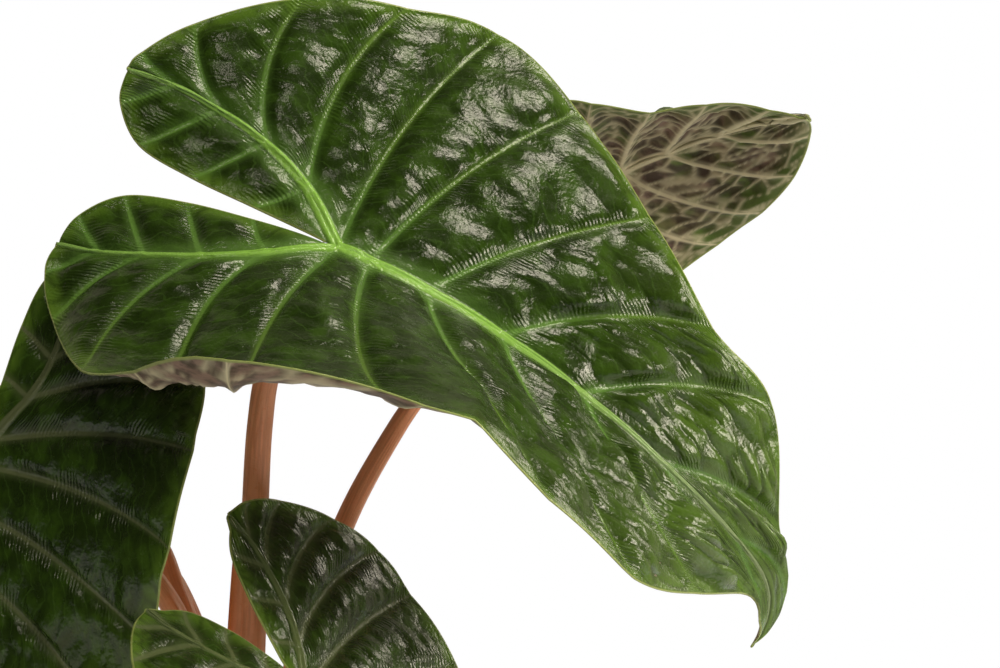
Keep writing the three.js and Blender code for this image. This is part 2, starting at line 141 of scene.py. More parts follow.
# Blades, as in the frame, with angles in degrees.
# joint: where the stalk meets the blade. heading, pitch: the midrib's direction there. roll: the
# blade's tilt about it. length: along the midrib. arch and droop bend the midrib down, droop more
# towards the tip. sway bends it sideways and twist turns it about itself. hook and hook_side turn
# the tip, back and twist_back the lobes. fold and curl: how a half rises from the midrib and rolls
# up, for the left and the right half, each at the lobes, the middle and the tip. wide, lobe_long,
# lobe_wide: parts of the plain outline's measures. parting: how far the back lobes stand apart.
# wave: height and count of the margin's waves, then their phase in each half. puff: height of the
# swelling between veins. sag: a trough inside the right margin, from one vein to another, and its
# depth. trim: how far the margin stands out past the plain outline at each vein. fineness: mesh
# rows between two veins, then columns from rib to margin above and below. fresh: 1 for a young
# blade with bright veins, 0 for an old dull one
BLADES = {
    "a": dict(
        joint=(41, -30, 393), heading=-15, pitch=-20, roll=37, length=300,
        arch=90, droop=-20, hook=25, hook_side=-62, back=17, sway=15, twist=20, twist_back=-50,
        fold=((15, 5, 10), (0, 25, 5)), curl=((-5, -5, -5), (-10, 25, -15)),
        wide=1.0, lobe_long=(1.02, 0.97), lobe_wide=1.0, parting=0.0,
        wave=(3, 3, 0.2, 0.35), puff=3.2, sag=(5.6, 9, 18),
        trim=((0, 0.01, -0.01, 0.04, -0.02, -0.03, 0, 0.02, -0.02, -0.02, -0.02, -0.02, 0),
              (0, 0, -0.03, -0.01, 0.03, -0.02, -0.01, 0.03, 0, 0, 0, 0, 0)),
        fineness=(20, 140, 28), fresh=1.0,
    ),
    "b": dict(
        joint=(123, 100, 402), heading=-5, pitch=25, roll=-65, length=167,
        arch=45, droop=20, hook=20, hook_side=-5, back=20, sway=-18, twist=5, twist_back=-20,
        fold=((10, 0, 5), (10, -25, -35)), curl=((-5, -5, -5), (-5, -5, -10)),
        wide=0.9, lobe_long=(1, 1), lobe_wide=1.0, parting=0.0,
        wave=(2.5, 4, 0.6, 0.4), puff=2.6, sag=(0, 1, 0),
        trim=((0, -0.02, 0.02, 0.07, 0.08, 0.04, 0, 0, 0, 0, 0, 0, 0),
              (0, -0.02, -0.02, 0.03, 0.03, 0.03, 0, 0, 0, 0, 0, 0, 0)),
        fineness=(16, 60, 80), fresh=0.2,
    ),
    "c": dict(
        joint=(-104, -25, 312), heading=-102, pitch=-77, roll=5, length=230,
        arch=10, droop=5, hook=20, hook_side=0, back=20, sway=5, twist=-25, twist_back=-10,
        fold=((5, 15, 5), (10, 10, 10)), curl=((0, 20, -5), (-5, 0, -5)),
        wide=1.05, lobe_long=(0.9, 0.9), lobe_wide=1.05, parting=0.15,
        wave=(2, 4, 0.1, 0.9), puff=2.6, sag=(0, 1, 0),
        trim=PLAIN_MARGIN,
        fineness=(18, 110, 26), fresh=0.0,
    ),
    "d": dict(
        joint=(30, -75, 215), heading=0, pitch=-50, roll=17, length=205,
        arch=15, droop=10, hook=20, hook_side=0, back=15, sway=0, twist=5, twist_back=-60,
        fold=((10, 10, 10), (-5, 15, 10)), curl=((-15, 5, -5), (-5, 0, -5)),
        wide=1.1, lobe_long=(0.95, 0.9), lobe_wide=1.0, parting=0.2,
        wave=(2, 3, 0.4, 0.6), puff=2.4, sag=(0, 1, 0),
        trim=PLAIN_MARGIN,
        fineness=(18, 110, 26), fresh=0.1,
    ),
    "e": dict(
        joint=(-108, 60, 314), heading=155, pitch=4, roll=8, length=172,
        arch=58, droop=20, hook=20, hook_side=10, back=20, sway=0, twist=0, twist_back=0,
        fold=((12, 14, 8), (12, 14, 8)), curl=((-5, -8, -5), (-5, -8, -5)),
        wide=0.95, lobe_long=(0.95, 0.95), lobe_wide=1.0, parting=0.1,
        wave=(2, 4, 0.3, 0.7), puff=2.2, sag=(0, 1, 0),
        trim=PLAIN_MARGIN,
        fineness=(14, 70, 40), fresh=0.5,
    ),
}

# Length of a fully grown blade; ribs, veins and pillows of a smaller one are smaller
FULL_LENGTH = 300

# Stalks, as in the frame: centre line, foot, radius at foot, middle and top, and the sheath's free
# edge: its side, its height and the part of the stalk it runs along
STALKS = {
    "a": dict(
        line=((1, 0, 190), (3, -3, 235), (5, -8, 284), (7.5, -13, 318), (12, -18, 342), (24, -23, 367)),
        foot=(0, 0), radius=(6.6, 5.4, 4.5), wing=((-1, -0.25, 0), 4.6, 0.37),
    ),
    "b": dict(
        line=((16, 11, 190), (27, 20, 232), (43, 32, 274), (63, 47, 309), (79, 62, 331), (102, 84, 366)),
        foot=(11.5, 8.5), radius=(6.2, 4.2, 3.6), wing=((-0.4, 1, 0), 3.6, 0.4),
    ),
    "c": dict(
        line=((-17, -6, 190), (-25, -8, 226), (-38, -10, 251), (-62, -11, 277), (-86, -12, 300)),
        foot=(-13.5, -4.5), radius=(6, 4.4, 3.4), wing=((0.5, -1, 0), 3.2, 0.4),
    ),
    "d": dict(
        line=((7, -24, 178), (11, -42, 204), (16, -58, 220)),
        foot=(4.5, -13.8), radius=(6, 4, 3.2), wing=((1, 0.3, 0), 3, 0.4),
    ),
    "e": dict(
        line=((-15, 13, 190), (-23, 16, 218), (-32, 20, 243), (-40, 24, 262), (-60, 35, 286), (-84, 49, 300)),
        foot=(-9.5, 10.5), radius=(6, 4.2, 3.2), wing=((1, 0.6, 0), 3.2, 0.4),
    ),
}


def linear(colour):
    """An sRGB hex colour as linear red, green, blue and alpha."""
    parts = [int(colour[i:i + 2], 16) / 255 for i in (1, 3, 5)]
    return (*(c / 12.92 if c <= 0.04045 else ((c + 0.055) / 1.055) ** 2.4 for c in parts), 1.0)


def colour_property(name, description, colour):
    return bpy.props.FloatVectorProperty(
        name=name, description=description, default=linear(colour), size=4, subtype="COLOR", min=0, max=1)


def length_property(name, description, metres):
    return bpy.props.FloatProperty(
        name=name, description=description, default=metres, subtype="DISTANCE", unit="LENGTH", precision=4)


def power_property(name, description, watts):
    return bpy.props.FloatProperty(name=name, description=description, default=watts, min=0, unit="POWER")


class AlocasiaLeafSettings(bpy.types.PropertyGroup):
    """Relief and colours of the blades and stalks."""

    groove_depth: length_property("Groove depth", "How deep a lateral vein is sunk", 0.0022)
    ridge_spacing: length_property("Ridge spacing", "Distance between the fine ridges across a vein", 0.0031)
    ridge_height: length_property("Ridge height", "Height of the fine ridges across a vein", 0.0005)
    margin_thickness: length_property("Margin thickness", "Thickness of the blade's margin", 0.0007)
    lamina: colour_property("Lamina", "Upper skin between the veins", "#2f4811")
    # The dark lamina colour serves the mottles and also paints shade into the creases between the pillows
    dark_lamina_and_crease_shade: colour_property("Dark lamina", "Dark patches and creases of the upper skin", "#1e2f0a")
    # The pale lamina colour is partly painted light where it brightens the tip half
    pale_lamina_and_tip_light: colour_property("Pale lamina", "Upper skin towards tip and margin", "#58762a")
    rib: colour_property("Midrib", "Midrib and lobe ribs near the stalk", "#86b84c")
    rib_end: colour_property("Midrib end", "Midrib towards the tip", "#82956a")
    vein: colour_property("Veins", "Lateral veins", "#5a8038")
    old_vein: colour_property("Old veins", "Ribs and veins of an old blade", "#5d6646")
    band: colour_property("Margin band", "Green just inside the blade's edge", "#557525")
    rim: colour_property("Rim", "Thin edge of the blade", "#93a25c")
    under: colour_property("Underside", "Lower skin between the veins", "#8d7468")
    under_dark: colour_property("Dark underside", "Lower skin in the hollows", "#40352a")
    under_vein: colour_property("Underside veins", "Veins seen from below", "#dcd5b4")
    stalk: colour_property("Stalk", "Skin of the stalks", "#efa67e")
    stalk_dark: colour_property("Dark stalk", "Streaks on the stalks", "#bd7a57")
    sheath: colour_property("Sheath", "Free edge of the sheath", "#e27c40")


class AlocasiaPotSettings(bpy.types.PropertyGroup):
    """Colours of the pot, the soil and the stem base."""

    clay: colour_property("Clay", "Fired clay of the pot", "#b5673f")
    clay_pale: colour_property("Pale clay", "Lime bloom on the clay", "#cf9a78")
    soil: colour_property("Soil", "Damp potting mix", "#2e2119")
    bark: colour_property("Bark", "Bark chips in the mix", "#5a3c26")
    perlite: colour_property("Perlite", "White grains in the mix", "#d8d4c8")
    stem: colour_property("Stem base", "Scarred skin of the stem base", "#6f5238")


class AlocasiaStageSettings(bpy.types.PropertyGroup):
    """Floor, light and camera."""

    floor_radius: length_property("Floor", "Radius of the round floor", 0.95)
    key_power: power_property("Key light", "Power of the soft box high on the right", 11)
    side_power: power_property("Side light", "Power of the soft box low on the right", 17)
    back_power: power_property("Back light", "Power of the small box behind on the right", 2)
    glint_power: power_property("Glint light", "Power of the small box high on the left", 3)
    fill_power: power_property("Fill light", "Power of the wide light that no surface mirrors", 14)


# Small curves and noise


def spline(points, u):
    """Smooth curve through the points, read at every place in u, counted in points."""
    points = np.asarray(points, float)
    u = np.asarray(u, float)
    last = len(points) - 1
    i = np.clip(np.floor(u).astype(int), 0, last - 1)
    t = (u - i)[:, None]
    padded = np.vstack([2 * points[0] - points[1], points, 2 * points[-1] - points[-2]])
    p0, p1, p2, p3 = (padded[i + k] for k in range(4))
    return 0.5 * (2 * p1 + (p2 - p0) * t + (2 * p0 - 5 * p1 + 4 * p2 - p3) * t ** 2
                  + (3 * p1 - p0 - 3 * p2 + p3) * t ** 3)


def blend(low, high, share):
    return low + (high - low) * share


def smooth_step(low, high, value):
    x = np.clip((value - low) / (high - low), 0, 1)
    return x * x * (3 - 2 * x)


def ripple(places, size, seed):
    """Smooth repeatable noise from about -1 to 1 with lumps of the given size."""
    random = np.random.default_rng(seed)
    total = np.zeros(len(places))
    count = 9
    for _ in range(count):
        direction = random.normal(size=places.shape[1])
        direction *= random.uniform(0.7, 1.5) / np.linalg.norm(direction)
        total += np.sin(places @ direction * math.pi / size + random.uniform(0, 2 * math.pi))
    return total / math.sqrt(count)


def distance_to_line(places, line):
    """Shortest distance of each flat place to a line of points."""
    best = np.full(len(places), 1e9)
    for start, end in zip(line[:-1], line[1:]):
        way = end - start
        share = np.clip((places - start) @ way / max(way @ way, 1e-9), 0, 1)
        best = np.minimum(best, np.linalg.norm(places - start - share[:, None] * way, axis=1))
    return best


def whole_faces(quads):
    """The quads without their repeated corners. One that shrinks to a line is left out."""
    faces = [[k for i, k in enumerate(quad) if k != quad[i - 1]] for quad in quads]
    return [face for face in faces if len(face) > 2]


def joined(rows, around):
    """Faces between rows of point numbers. A row is a ring of the given count or a single point."""
    quads = []
    for low, high in zip(rows[:-1], rows[1:]):
        for k in range(around):
            nxt = (k + 1) % around
            quads.append([low[k % len(low)], low[nxt % len(low)], high[nxt % len(high)], high[k % len(high)]])
    return whole_faces(quads)


def mesh_piece(name, points, faces, materials, kinds=None, fields=None):
    """A smooth-shaded mesh object in metres; kinds gives each face's material, fields each point's values."""
    mesh = bpy.data.meshes.new(name)
    mesh.from_pydata((np.asarray(points) * MM).tolist(), [], faces)
    for material in materials:
        mesh.materials.append(material)
    if kinds is not None:
        mesh.polygons.foreach_set("material_index", np.asarray(kinds, np.int32))
    mesh.polygons.foreach_set("use_smooth", [True] * len(faces))
    for key, values in (fields or {}).items():
        attribute = mesh.attributes.new(key, "FLOAT", "POINT")
        attribute.data.foreach_set("value", np.asarray(values, np.float32))
    mesh.update()
    piece = bpy.data.objects.new(name, mesh)
    bpy.context.scene.collection.objects.link(piece)
    return piece


def place(piece, node):
    """The piece rides on the part and stands for its node."""
    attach(piece, BODY)
    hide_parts(node)


# The bent blade


def midrib_frames(pose):
    """Place, along, side and up of the midrib at even steps, the back lobes' part first."""
    heading, pitch = math.radians(pose["heading"]), math.radians(pose["pitch"])
    level = math.cos(pitch)
    along = Vector((math.cos(heading) * level, math.sin(heading) * level, math.sin(pitch)))
    side = Vector((-math.sin(heading), math.cos(heading), 0))
    side.rotate(Matrix.Rotation(math.radians(pose["roll"]), 3, along))
    start = (Vector(pose["joint"]), along, side, along.cross(side))

    def turned(step, axis, angle):
        rotation = Matrix.Rotation(math.radians(angle), 3, step[axis])
        return (step[0], *(rotation @ step[k] for k in (1, 2, 3)))

    def walk(sign, count):
        steps = []
        step = start
        for i in range(count):
            a = (i + 0.5) / MIDRIB_STEPS
            near = min(max((a - HOOK_START) / (1 - HOOK_START), 0), 1) * HOOK_SHARE
            if sign > 0:
                bend = pose["arch"] + 2 * pose["droop"] * a + pose["hook"] * near
                step = turned(step, 2, bend / MIDRIB_STEPS)
                step = turned(step, 3, (pose["sway"] + pose["hook_side"] * near) / MIDRIB_STEPS)
                step = turned(step, 1, pose["twist"] / MIDRIB_STEPS)
            else:
                step = turned(step, 2, -pose["back"] / MIDRIB_STEPS)
                step = turned(step, 1, -pose["twist_back"] / MIDRIB_STEPS)
            step = (step[0] + step[1] * (sign * pose["length"] / MIDRIB_STEPS), *step[1:])
            steps.append(step)
        return steps

    steps = [*reversed(walk(-1, LOBE_STEPS)), start, *walk(1, MIDRIB_STEPS + 3)]
    return np.array([[list(part) for part in step] for step in steps])


def softened(steps):
    """The midrib's frames with sudden changes of bend and twist spread over a few steps."""
    padded = np.concatenate([2 * steps[:1] - steps[2:0:-1], steps, 2 * steps[-1:] - steps[-2:-4:-1]])
    weights = (1, 2, 3, 2, 1)
    return sum(weight * padded[k:k + len(steps)] for k, weight in enumerate(weights)) / sum(weights)


def bent_points(pose, steps, flat):
    """Flat places (parts of the blade's length, left positive) on the bent blade, in millimetres."""
    a, b = flat[:, 0], flat[:, 1]
    index = np.clip((a + LOBE_STEPS / MIDRIB_STEPS) * MIDRIB_STEPS, 0, len(steps) - 1.001)
    low = np.floor(index).astype(int)
    t = (index - low)[:, None]
    centre, _, side, up = (steps[low, k] * (1 - t) + steps[low + 1, k] * t for k in range(4))
    angles = []
    for key in ("fold", "curl"):
        halves = []
        for back, middle, tip in pose[key]:
            behind = blend(back, middle, np.clip((a - LOBE_END) / (BLADE_MIDDLE - LOBE_END), 0, 1))
            ahead = blend(middle, tip, np.clip((a - BLADE_MIDDLE) / (1 - BLADE_MIDDLE), 0, 1))
            halves.append(np.where(a < BLADE_MIDDLE, behind, ahead))
        angles.append(np.radians(np.where(b >= 0, *halves)))
    fold, curl = angles
    curl = np.where(np.abs(curl) < 2e-5, 2e-5, curl)
    x = np.abs(b) * pose["length"] / CURL_WIDTH
    out = CURL_WIDTH / curl * (np.sin(fold + curl * x) - np.sin(fold))
    lift = CURL_WIDTH / curl * (np.cos(fold) - np.cos(fold + curl * x))
    return centre + side * (np.where(b >= 0, out, -out))[:, None] + up * lift[:, None]


def bowed(pose, half, foot, edge, bow, t):
    """Place at t on a bowed line from rib to margin, with the lobes' own length and width."""
    way = edge - foot
    bend = 4 * bow * t * (1 - t)
    a = foot[:, 0] + way[:, 0] * t - way[:, 1] * bend
    b = foot[:, 1] + way[:, 1] * t + way[:, 0] * bend
    lobe = np.clip(-a / 0.12, 0, 1)
    a = a * (1 + (pose["lobe_long"][half] - 1) * lobe)
    b = b * pose["wide"] * (1 + (pose["lobe_wide"] - 1) * lobe)
    return np.column_stack([a, b])


def flat_point(pose, half, u, t):
    """Flat place in a half blade: u counts the veins from the tip, t runs from rib to margin."""
    starts = np.array([vein[0] for vein in VEINS])
    low = np.clip(np.floor(u).astype(int), 0, LAST_VEIN - 1)
    straight = blend(starts[low], starts[low + 1], (u - low)[:, None])
    lobe = spline(starts[JOINT_VEIN:], np.maximum(u - JOINT_VEIN, 0))
    foot = np.where((u <= JOINT_VEIN)[:, None], straight, lobe)
    trim = np.column_stack([np.zeros(len(VEINS)), pose["trim"][half]])
    ends = np.array([vein[1] for vein in VEINS]) + trim
    bow = spline([[vein[2]] for vein in VEINS], u)[:, 0]
    return bowed(pose, half, foot, spline(ends, u), bow, t)


def sinus_point(pose, half, u, t):
    """Flat place between the lobe's rib and the inner margin."""
    foot = spline([vein[0] for vein in VEINS[JOINT_VEIN:]], u)
    edge = spline(SINUS, u)
    edge[:, 1] += pose["parting"] * np.maximum(0, -edge[:, 0] - 0.08) * np.minimum(1, (5 - u) / 1.5)
    return bowed(pose, half, foot, edge, np.zeros(len(u)), t)


def vein_rows(count, intervals):
    """Row places over a run of veins, closer together near each vein."""
    x = np.linspace(0, 1, count + 1)[:-1]
    near_vein = x - 0.5 * np.sin(2 * math.pi * x) / (2 * math.pi)
    return np.concatenate([k + near_vein for k in range(intervals)] + [[intervals]])


class BladeSheet:
    """Welded grid of one side of a blade, with its flat places and what its relief and skin measure."""

    def __init__(self, pose, rows, columns):
        self.pose = pose
        self.flat, self.u, self.t, self.half, self.inner = [], [], [], [], []
        self.quads = []
        self.loop = []
        self.count = 0
        main_rows = vein_rows(rows, LAST_VEIN)
        lobe_rows = vein_rows(rows, LAST_VEIN - JOINT_VEIN)
        margins = {}
        for half in (0, 1):
            margins[half, False] = self.add_grid(half, main_rows, columns, False)
            margins[half, True] = self.add_grid(half, lobe_rows, max(columns // 5, 10), True)
        outline = np.concatenate([margins[0, False], margins[0, True][::-1][1:],
                                  margins[1, True][1:], margins[1, False][::-1][1:]])
        self.weld(outline)
        self.measure()

    def add_grid(self, half, rows, columns, inner):
        """Adds the grid of one half blade, or of its lobe's inner strip, and returns its margin's points."""
        u, t = np.meshgrid(rows, np.linspace(0, 1, columns + 1), indexing="ij")
        make = sinus_point if inner else flat_point
        flat = make(self.pose, half, u.ravel(), t.ravel())
        sign = 1 if half == 0 else -1
        flat[:, 1] *= sign
        ids = self.count + np.arange(u.size).reshape(u.shape)
        quads = np.stack([ids[:-1, :-1], ids[1:, :-1], ids[1:, 1:], ids[:-1, 1:]], axis=-1).reshape(-1, 4)
        facing = -sign if inner else sign
        self.quads.append(quads[:, ::-1] if facing > 0 else quads)
        self.flat.append(flat)
        self.u.append(u.ravel() + (JOINT_VEIN if inner else 0))
        self.t.append(t.ravel())
        self.half.append(np.full(u.size, half))
        self.inner.append(np.full(u.size, inner))
        self.count += u.size
        return ids[:, -1]

    def weld(self, outline):
        """Joins the points that the grids share, and keeps the outline as one closed loop."""
        flat = np.concatenate(self.flat)
        rounded_flat = np.round(flat * 1e5).astype(int)
        _, keep, where = np.unique(rounded_flat, axis=0, return_index=True, return_inverse=True)
        where = where.ravel()
        self.flat = flat[keep]
        for key in ("u", "t", "half", "inner"):
            setattr(self, key, np.concatenate(getattr(self, key))[keep])
        self.faces = whole_faces(where[np.concatenate(self.quads)].tolist())
        ring = where[outline]
        ring = ring[np.concatenate([[True], ring[1:] != ring[:-1]])]
        self.loop = ring[:-1] if ring[0] == ring[-1] else ring

    def measure(self):
        """Distances in millimetres on the flat blade: to the ribs, the nearest vein and the margin."""
        pose = self.pose
        size = pose["length"]
        spots = self.flat * size
        self.spots = spots
        mirror = np.column_stack([spots[:, 0], np.abs(spots[:, 1])])
        steps = np.linspace(0, LAST_VEIN - JOINT_VEIN, 26)
        self.rib = np.full(len(spots), 1e9)
        self.edge = np.full(len(spots), 1e9)
        self.vein = np.full(len(spots), 99.0)
        self.run = np.zeros(len(spots))
        middle = np.array([[0.0, 0.0], [size, 0.0]])
        for half in (0, 1):
            mine = self.half == half
            lobe = sinus_point(pose, half, steps, np.zeros(len(steps))) * size
            ribs = np.minimum(distance_to_line(mirror[mine], middle), distance_to_line(mirror[mine], lobe))
            self.rib[mine] = ribs
            u = np.linspace(0, LAST_VEIN, 240)
            back = np.linspace(LAST_VEIN - JOINT_VEIN, 0, 60)
            margin = np.vstack([flat_point(pose, half, u, np.ones(len(u))),
                                sinus_point(pose, half, back, np.ones(len(back)))]) * size
            self.edge[mine] = distance_to_line(mirror[mine], margin)
            for inner, make, first, last in ((False, flat_point, 0, LAST_VEIN),
                                             (True, sinus_point, JOINT_VEIN, LAST_VEIN)):
                strip = mine & (self.inner == inner)
                u, t = self.u[strip] - first, self.t[strip]
                low = np.clip(np.floor(u), 0, last - first - 1)
                ahead = (make(pose, half, u, t + 0.01) - make(pose, half, u, t - 0.01)) * size
                step = np.linalg.norm(ahead, axis=1)
                gap = (make(pose, half, low + 1, t) - make(pose, half, low, t)) * size
                gap = np.abs(gap[:, 0] * ahead[:, 1] - gap[:, 1] * ahead[:, 0]) / np.maximum(step, 1e-6)
                before = np.where(low == 0, 1.0, u - low)
                after = np.where(low == last - first - 1, 1.0, low + 1 - u)
                self.vein[strip] = np.minimum(before, after) * gap
                self.run[strip] = t * step / 0.02
        self.reach = np.linalg.norm(spots, axis=1)
        scale = size / FULL_LENGTH

        # Pillows lean outward, are longest across the gap between two veins, and differ from gap to gap
        leaned = np.column_stack([self.run - 0.5 * self.vein, 0.62 * self.vein + 40 * np.floor(self.u)])
        leaned += 1.8 * ripple(spots, 20, 7)[:, None]
        self.quilt = quilting(leaned, PILLOW_SIZE * scale, 3)


def as_quads(faces):
    """Faces of three or four corners as an array of fours; a triangle gives its first corner twice."""
    return np.array([face if len(face) == 4 else [*face, face[0]] for face in faces])


def surface_normals(points, faces):
    normals = np.zeros_like(points)
    quads = as_quads(faces)
    cross = np.cross(points[quads[:, 2]] - points[quads[:, 0]], points[quads[:, 3]] - points[quads[:, 1]])
    for k in range(4):
        np.add.at(normals, quads[:, k], cross)
    return normals / np.maximum(np.linalg.norm(normals, axis=1), 1e-9)[:, None]


def evened(normals, faces, passes):
    """Normals averaged with their neighbours, so that a deep hollow doesn't fold over itself."""
    quads = as_quads(faces)
    for _ in range(passes):
        total = np.zeros_like(normals)
        shared = normals[quads].sum(axis=1)
        for k in range(4):
            np.add.at(total, quads[:, k], shared)
        normals = total / np.maximum(np.linalg.norm(total, axis=1), 1e-9)[:, None]
    return normals


def quilting(places, size, seed):
    """Rounded pillows of about the given size with creases between, from 0 in a crease to 1."""
    random = np.random.default_rng(seed)
    low, high = places.min(axis=0) - size, places.max(axis=0) + size
    grid = np.stack(np.meshgrid(*(np.arange(a, b, size) for a, b in zip(low, high))), axis=-1).reshape(-1, 2)
    seeds = grid + random.uniform(-0.42, 0.42, grid.shape) * size
    tree = KDTree(len(seeds))
    for k, spot in enumerate(seeds):
        tree.insert((*spot, 0), k)
    tree.balance()
    gaps = np.empty(len(places))
    for k, spot in enumerate(places):
        near, next_near = tree.find_n((*spot, 0), 2)
        gaps[k] = next_near[2] - near[2]
    return 1 - np.exp(-gaps / (CREASE_PART * size))


def main_relief(sheet):
    """Swellings between the veins, the margin's waves and the right half's trough, as in the frame."""
    pose, u, t = sheet.pose, sheet.u, sheet.t
    wave_height, wave_count, *phases = pose["wave"]
    sag_from, sag_to, sag_depth = pose["sag"]
    ends = np.sin(math.pi * np.clip(u / LAST_VEIN, 0, 1)) ** 0.6
    between = np.sin(math.pi * (u % 1))
    pillow = pose["puff"] * between * np.sin(math.pi * np.minimum(t * 0.85 + 0.06, 1)) ** 0.8
    phase = np.where(sheet.half == 0, *phases)
    swing = np.sin(2 * math.pi * (wave_count * u / LAST_VEIN + phase))
    inside = (sheet.half == 1) & (u > sag_from) & (u < sag_to)
    within = np.where(inside, np.sin(math.pi * (u - sag_from) / (sag_to - sag_from)), 0)
    wave = wave_height * ends * t ** 3 * swing - sag_depth * within * np.sin(math.pi * t ** 2.2)
    outer = (pillow * ends + wave) * (t > 0)
    return np.where(sheet.inner, 0.4 * pose["puff"] * between * np.sin(math.pi * t), outer)


def half_widths(sheet):
    """Half the width of the ribs and of the lateral veins, in millimetres."""
    scale = math.sqrt(sheet.pose["length"] / FULL_LENGTH)
    rib = scale * np.interp(sheet.spots[:, 0] / sheet.pose["length"], [-0.38, -0.2, 0, 0.25, 0.6, 1.0],
                            [0.6, 1.5, 2.7, 2.1, 1.15, 0.45])
    vein = scale * np.interp(sheet.run, [0, 12, 60, 130], [1.6, 1.15, 0.8, 0.45])
    return rib, vein


def upper_relief(sheet, settings):
    """Finer relief of the upper skin: sunken veins, raised ribs, quilted pillows and fine ridges."""
    scale = sheet.pose["length"] / FULL_LENGTH
    rib_width, vein_width = half_widths(sheet)
    inward = smooth_step(0, 8, sheet.edge)
    depth = settings.groove_depth / MM * (1 - 0.5 * smooth_step(30, 120, sheet.run))
    groove = -depth * np.exp(-sheet.vein / 3.0) * smooth_step(2, 14, sheet.run) * inward
    cord = CORD_HEIGHT * np.exp(-(sheet.vein / vein_width) ** 2) * inward
    valley = -VALLEY_DEPTH * scale * np.exp(-sheet.rib / (2.2 * rib_width))
    rib = RIB_HEIGHT * scale * np.sqrt(np.clip(1 - (sheet.rib / rib_width) ** 2, 0, 1))
    away = smooth_step(0.8, 6, sheet.vein) * smooth_step(2, 9, sheet.rib) * inward
    taper = 0.35 + 1.05 * smooth_step(0.15, 0.6, sheet.spots[:, 0] / sheet.pose["length"])
    lumps = LUMP_HEIGHT * taper * ripple(sheet.spots, LUMP_SIZE * scale, 5)
    lumps += SMALL_LUMP_HEIGHT * ripple(sheet.spots, SMALL_LUMP_SIZE * scale, 6)
    pillows = (lumps + PILLOW_HEIGHT * taper * sheet.quilt) * away * scale
    ridge_run = sheet.run - 0.3 * sheet.vein + 2.2 * ripple(sheet.spots, 13, 11)
    patch = smooth_step(0.2, 1.5, ripple(sheet.spots, 26, 13))
    patch *= smooth_step(-0.6, 0.9, ripple(sheet.spots, 6, 14))
    beside = smooth_step(0.6, 2.2, sheet.vein) * (1 - smooth_step(6, 16, sheet.vein))
    beside *= smooth_step(3, 8, sheet.rib)
    ahead = 0.25 + 0.75 * smooth_step(-25, 15, sheet.spots[:, 0])
    height = settings.ridge_height / MM * (0.3 + 0.4 * sheet.pose["fresh"]) * ahead
    ridges = height * np.sin(2 * math.pi * ridge_run * MM / settings.ridge_spacing) * beside * patch * inward
    rim = 0.25 * np.exp(-((sheet.edge - 0.6) / 0.8) ** 2)
    return groove + cord + valley + rib + pillows + ridges + rim


def under_thickness(sheet, settings):
    """Thickness from upper to lower skin, with ribs and veins standing out below."""
    scale = sheet.pose["length"] / FULL_LENGTH
    rib_width, vein_width = half_widths(sheet)
    margin = settings.margin_thickness / MM
    body = margin + (CAD_THICKNESS - margin) * smooth_step(0, 12, sheet.edge)
    inward = smooth_step(0, 14, sheet.edge)
    rib = RIB_DEPTH * scale * np.exp(-(sheet.rib / (1.5 * rib_width)) ** 2) * inward
    vein = UNDER_VEIN_HEIGHT * scale * np.exp(-(sheet.vein / (1.1 * vein_width)) ** 2) * inward
    net = UNDER_NET_HEIGHT * scale * (1 - sheet.quilt) ** 2 * inward
    return body + rib + vein + net


def blade_fields(sheet):
    """What the skins read at each point: distances to rib, vein and margin, along the vein and from
    the stalk, the creases, and how fresh the blade is."""
    rib_width, vein_width = half_widths(sheet)
    return {
        "rib": sheet.rib / rib_width,
        "vein": sheet.vein / vein_width,
        "rib_mm": sheet.rib,
        "vein_mm": sheet.vein,
        "edge_mm": sheet.edge,
        "run_mm": sheet.run,
        "quilt": sheet.quilt,
        "reach": sheet.reach / sheet.pose["length"],
        "fresh": np.full(len(sheet.u), sheet.pose["fresh"]),
    }


def make_blade(key, skins, settings):
    """One blade: a fine upper skin, a lower skin with raised veins, and a rounded margin between them."""
    pose = BLADES[key]
    rows, above, below = pose["fineness"]
    steps = softened(midrib_frames(pose))
    sides = []
    for columns in (above, below):
        sheet = BladeSheet(pose, rows, columns)
        base = bent_points(pose, steps, sheet.flat)
        out = evened(surface_normals(base, sheet.faces), sheet.faces, EVENING_PASSES)
        main = base + out * main_relief(sheet)[:, None]
        sides.append((sheet, main, surface_normals(main, sheet.faces)))
    upper, top, top_out = sides[0]
    lower, low, low_out = sides[1]
    top_points = top + top_out * upper_relief(upper, settings)[:, None]
    low_relief = upper_relief(lower, settings) * smooth_step(0, 3, lower.rib)
    low_points = low + low_out * (low_relief - under_thickness(lower, settings))[:, None]
    first = len(top_points)
    points = np.vstack([top_points, low_points])
    faces = list(upper.faces) + [[k + first for k in reversed(face)] for face in lower.faces]
    kinds = [0] * len(upper.faces) + [1] * len(lower.faces)
    middle = (top_points[upper.loop] + low_points[lower.loop]) / 2
    along = np.roll(middle, -1, axis=0) - np.roll(middle, 1, axis=0)
    outward = np.cross(along, top_out[upper.loop])
    outward /= np.maximum(np.linalg.norm(outward, axis=1), 1e-9)[:, None]
    ring = len(points) + np.arange(len(middle))
    points = np.vstack([points, middle + MARGIN_BULGE * outward])
    n = len(middle)
    for k in range(n):
        nxt = (k + 1) % n
        t0, t1 = int(upper.loop[k]), int(upper.loop[nxt])
        b0, b1 = int(lower.loop[k]) + first, int(lower.loop[nxt]) + first
        m0, m1 = int(ring[k]), int(ring[nxt])
        faces += [[t1, t0, m0, m1], [m1, m0, b0, b1]]
        kinds += [0, 1]
    upper_fields, lower_fields = blade_fields(upper), blade_fields(lower)
    fields = {name: np.concatenate([upper_fields[name], lower_fields[name], upper_fields[name][upper.loop]])
              for name in upper_fields}
    return mesh_piece(f"blade_{key}_skin", points, faces, skins, kinds, fields)


# Materials


